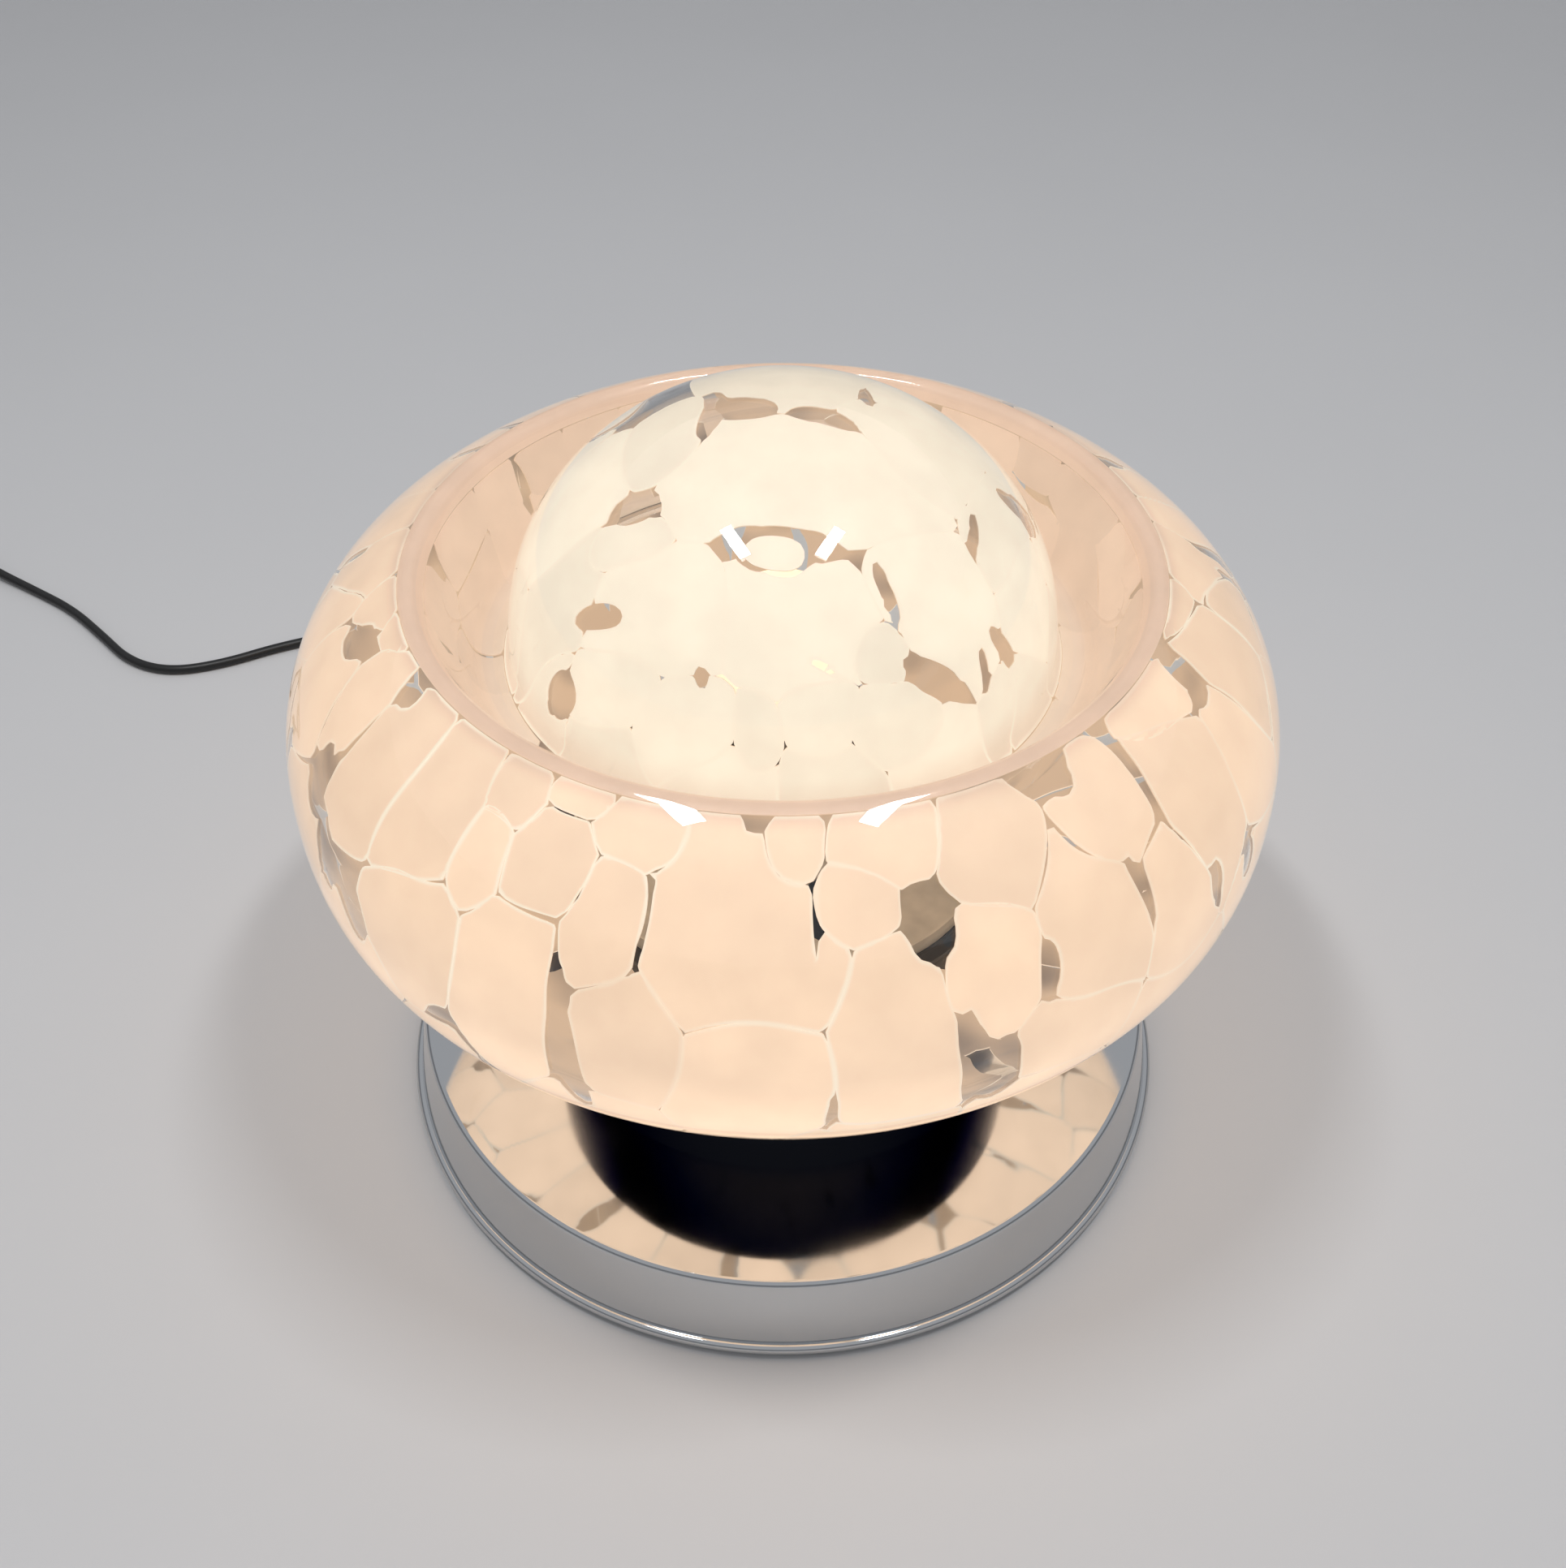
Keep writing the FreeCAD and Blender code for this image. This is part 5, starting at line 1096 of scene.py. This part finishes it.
class LAMP_OT_camera(bpy.types.Operator):
    """Place the camera as in the photograph"""

    bl_idname = "lamp.camera"
    bl_label = "Camera"

    def execute(self, context):
        data = bpy.data.cameras.new("camera")
        data.lens = CAMERA_LENS
        data.sensor_width = 36
        made = bpy.data.objects.new("camera", data)
        made.location = CAMERA_PLACE
        made.rotation_euler = (math.radians(CAMERA_PITCH), 0, 0)
        context.scene.collection.objects.link(made)
        context.scene.camera = made
        return {"FINISHED"}


class LAMP_OT_mains_cord(bpy.types.Operator):
    """Lay the mains cord with its put away coil"""

    bl_idname = "lamp.mains_cord"
    bl_label = "Mains cord"

    def execute(self, context):
        sizes = context.scene.lamp_cord
        # Extruded PVC: black, and smooth enough for a long soft highlight.
        cover = plain_finish("black_pvc_cord", "#161616", 0.38, grain=1.111, depth=0.04)
        lead = cord_curve("mains_lead", LEAD_ROUTE, sizes.diameter)
        heading = math.radians(PLUG_HEADING)
        behind = 0.025
        before_plug = (PLUG_NOSE[0] - math.cos(heading) * behind, PLUG_NOSE[1] - math.sin(heading) * behind,
                       PLUG_NOSE[2])
        route = LINK_ROUTE + coil_route(sizes.coil_turns) + TAIL_ROUTE + [before_plug, PLUG_NOSE]
        coiled = cord_curve("coiled_lead", route, sizes.diameter)
        for curve in (lead, coiled):
            curve.data.materials.append(cover)
            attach(curve, "lamp")
        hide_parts("cord_lead")
        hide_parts("cord_link", "cord_coil", "cord_tail")
        line_length(cord_line(lead))
        line_length(cord_line(coiled))
        return {"FINISHED"}


class LAMP_OT_cord_fittings(bpy.types.Operator):
    """Rib the two strain reliefs and close the strap round the coil"""

    bl_idname = "lamp.cord_fittings"
    bl_label = "Cord fittings"

    def execute(self, context):
        # Soft PVC moulded on the cord: a little duller than the cord.
        rubber = plain_finish("soft_black_pvc", "#191919", 0.5, grain=1.429)
        tree = ribs_tree()
        empty = bpy.data.meshes.new("ribs_start")
        heading = math.radians(PLUG_HEADING)
        along_plug = Vector((math.cos(heading), math.sin(heading), 0))
        places = (("gland_ribs", Vector(LEAD_ROUTE[0]), Vector(GLAND_OUT), GLAND_RIBS),
                  ("plug_ribs", Vector(PLUG_NOSE), -along_plug, PLUG_RIBS))
        for name, tip, way, (behind, first, last) in places:
            mesh = grown(name, empty, tree, {
                "Count": RIB_COUNT, "Length": RIBS_LENGTH, "First": first, "Last": last,
                "Thickness": RIB_ROUND, "Finish": rubber})
            turn = way.to_track_quat("Z", "Y").to_matrix().to_4x4()
            mesh.transform(Matrix.Translation(tip - way * behind) @ turn)
            face_out(mesh)
            piece(name, mesh, "lamp", rubber)
        tie = tie_mesh("coil_tie", COIL_MIDDLE, math.radians(TIE_ANGLE), TIE_WIDTH, TIE_THICKNESS)
        piece("coil_tie", tie, "lamp", woven_strap())
        return {"FINISHED"}


class LAMP_OT_glass_shell(bpy.types.Operator):
    """Blow the clear glass of the shade"""

    bl_idname = "lamp.glass_shell"
    bl_label = "Clear glass"

    def execute(self, context):
        sizes = context.scene.lamp_shade
        glass = clear_glass()
        outline = shade_outline(sizes.wall / MM)
        mesh = turned("blown_glass", outline, glass, closed=False, segments=SHADE_SEGMENTS, crease=60)
        piece("blown_glass", mesh, "shade", glass, ["glass_shade"])
        return {"FINISHED"}


class LAMP_OT_opal_blotches(bpy.types.Operator):
    """Melt the opal blotches into the glass"""

    bl_idname = "lamp.opal_blotches"
    bl_label = "Opal blotches"

    def execute(self, context):
        sizes = context.scene.lamp_shade
        opal = opal_glass()
        dice = np.random.default_rng(5)
        top = sizes.opal_depth / MM
        layer = sizes.opal_layer / MM
        unseen = unseen_body_blotches(dice)
        body = BODY_BLOTCHES + unseen
        dome = DOME_BLOTCHES + unseen_dome_blotches(dice)
        body_gaps = BODY_GAPS + unseen_gaps(dice, unseen, 0.55)
        fold = fold_blotches(dice)
        fold_gaps = unseen_gaps(dice, fold, 0.2)
        body_chart = BodyChart()
        meshes = (
            opal_mesh("opal_body", body_chart, body, body_gaps, BODY_LIMITS, top, layer, BODY_STEP),
            opal_mesh("opal_fold", body_chart, fold, fold_gaps, FOLD_LIMITS, top, layer, TOP_STEP),
            opal_band("opal_ring", body_chart, RING_LIMITS, top, layer, SHADE_SEGMENTS),
            opal_mesh("opal_dome", DomeChart(), dome, DOME_GAPS, DOME_LIMITS, top, layer, TOP_STEP))
        for mesh in meshes:
            piece(mesh.name, mesh, "shade", opal)
        return {"FINISHED"}


class LAMP_OT_metal_body(bpy.types.Operator):
    """Spin the chromed base and the dark drum"""

    bl_idname = "lamp.metal_body"
    bl_label = "Base and drum"

    def execute(self, context):
        for name, outline, metal, node in (
                ("base_spinning", base_outline(), chrome_plate(), "base_shell"),
                ("drum_spinning", drum_outline(), black_nickel(), "pedestal_drum")):
            piece(name, turned(name, outline, metal, closed=True), "lamp", metal, [node])
        return {"FINISHED"}


class LAMP_OT_inner_finishes(bpy.types.Operator):
    """Give the carried over pieces their finishes"""

    bl_idname = "lamp.inner_finishes"
    bl_label = "Inner and under pieces"

    def execute(self, context):
        given = (
            # Zinc plate on turned and pressed steel: grey and half bright.
            (plain_finish("zinc_plated_steel", "#B9BCC0", 0.32, 1.0),
             "cover_standoffs cover_screws threaded_tube tube_washers tube_nuts clamp_screws switch_pin "
             "switch_screws"),
            # Drawn brass, left plain: yellow, with a soft gloss.
            (plain_finish("brass", "#C9A15A", 0.3, 1.0),
             "holder_sleeve holder_contact bulb_contact terminal_screws switch_contacts"),
            # Nickel plate on brass: warmer and softer than chrome.
            (plain_finish("nickel_plated_brass", "#C6C2B8", 0.22, 1.0), "bulb_cap plug_pins"),
            # Enamel baked on sheet steel: white and glossy.
            (plain_finish("white_enamel", "#DEDBD1", 0.25), "gallery_plate"),
            # Paint sprayed on sheet steel: black, with no clear mirror image.
            (plain_finish("matt_black_paint", "#262627", 0.6), "bottom_cover"),
            # Glass pressed into the end of the cap: black and very smooth.
            (plain_finish("black_glass", "#141416", 0.1), "bulb_insulator"),
            # Sand cast iron: dull, with a coarse grain.
            (plain_finish("cast_iron", "#2E2F31", 0.7, grain=4, depth=0.3), "ballast_disc"),
            # Pressed felt: no gloss, and a soft bloom towards its edges.
            (plain_finish("black_felt", "#1B1B1C", 0.95, grain=0.714, depth=0.6, Sheen_Weight=0.3),
             "felt_pad"),
            # Moulded phenolic: brownish black and hard, with some gloss.
            (plain_finish("black_phenolic", "#1A1817", 0.3), "holder_cap holder_shell"),
            # Glazed ceramic: cream white and smooth.
            (plain_finish("glazed_ceramic", "#E9E4D8", 0.2), "holder_insert"),
            # Moulded rubber: dark grey and dull.
            (plain_finish("grey_rubber", "#2B2B2B", 0.7), "seat_gasket"),
            # Moulded ABS: black, with a fine grain that softens its gloss.
            (plain_finish("black_abs", "#1C1C1D", 0.42, grain=1.111),
             "cord_gland gland_nut switch_lower switch_upper plug_body plug_sleeve"),
            # Polished ABS: the rocker mirrors more than its case.
            (plain_finish("gloss_black_abs", "#121213", 0.2), "switch_rocker"),
            # Extruded insulation of the wires: smooth brown.
            (plain_finish("pvc_core", "#7A4A22", 0.4), "inner_wires"),
            # Moulded nylon: milky, with a soft gloss.
            (plain_finish("white_nylon", "#D8D6CF", 0.45), "cord_clamp terminal_block"),
            (bpy.data.materials["black_pvc_cord"], "cord_inside"),
            (lit_bulb(), "bulb_glass"),
        )
        for material, names in given:
            for name in names.split():
                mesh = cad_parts[name].data
                mesh.materials.clear()
                mesh.materials.append(material)
        return {"FINISHED"}


class LAMP_OT_studio(bpy.types.Operator):
    """Lay the pale floor and set the soft lamps"""

    bl_idname = "lamp.studio"
    bl_label = "Studio"

    def execute(self, context):
        settings = context.scene.lamp_studio
        floor = bpy.data.objects.new(
            "floor", floor_mesh(settings.floor_reach, settings.sweep_radius, settings.wall_height))
        context.scene.collection.objects.link(floor)
        floor.data.materials.append(studio_paper(settings.floor_colour))
        world = bpy.data.worlds.new("even_light")
        world.use_nodes = True
        feed(world.node_tree.nodes["Background"],
             {"Color": opaque("#E8EAEE"), "Strength": settings.world_level})
        context.scene.world = world
        for name, place in SOFT_LAMPS.items():
            soft_lamp(name, place, settings.lamp_power)
        context.scene.view_settings.view_transform = "Standard"
        return {"FINISHED"}


class LAMP_PT_pieces(bpy.types.Panel):
    bl_label = "Glass table lamp"
    bl_idname = "LAMP_PT_pieces"
    bl_space_type = "VIEW_3D"
    bl_region_type = "UI"
    bl_category = "Lamp"

    def draw(self, context):
        for settings in ("lamp_shade", "lamp_metal", "lamp_cord", "lamp_studio"):
            box = self.layout.box()
            group = getattr(context.scene, settings)
            for name in group.bl_rna.properties.keys():
                if name not in ("rna_type", "name"):
                    box.prop(group, name)
        for operator in OPERATORS:
            self.layout.operator(operator.bl_idname)


SETTINGS = {"lamp_shade": ShadeSettings, "lamp_metal": MetalSettings, "lamp_cord": CordSettings,
            "lamp_studio": StudioSettings}
OPERATORS = [LAMP_OT_camera, LAMP_OT_mains_cord, LAMP_OT_cord_fittings, LAMP_OT_glass_shell,
             LAMP_OT_opal_blotches, LAMP_OT_metal_body, LAMP_OT_inner_finishes, LAMP_OT_studio]


def register():
    for settings in SETTINGS.values():
        bpy.utils.register_class(settings)
    for name, settings in SETTINGS.items():
        setattr(bpy.types.Scene, name, bpy.props.PointerProperty(type=settings))
    for operator in OPERATORS:
        bpy.utils.register_class(operator)
    bpy.utils.register_class(LAMP_PT_pieces)


def unregister():
    bpy.utils.unregister_class(LAMP_PT_pieces)
    for operator in reversed(OPERATORS):
        bpy.utils.unregister_class(operator)
    for name, settings in SETTINGS.items():
        delattr(bpy.types.Scene, name)
        bpy.utils.unregister_class(settings)


def main():
    register()
    bpy.ops.lamp.camera()
    bpy.ops.lamp.mains_cord()
    bpy.ops.lamp.cord_fittings()
    bpy.ops.lamp.glass_shell()
    bpy.ops.lamp.opal_blotches()
    bpy.ops.lamp.metal_body()
    bpy.ops.lamp.inner_finishes()
    bpy.ops.lamp.studio()


if __name__ == "__main__":
    main()
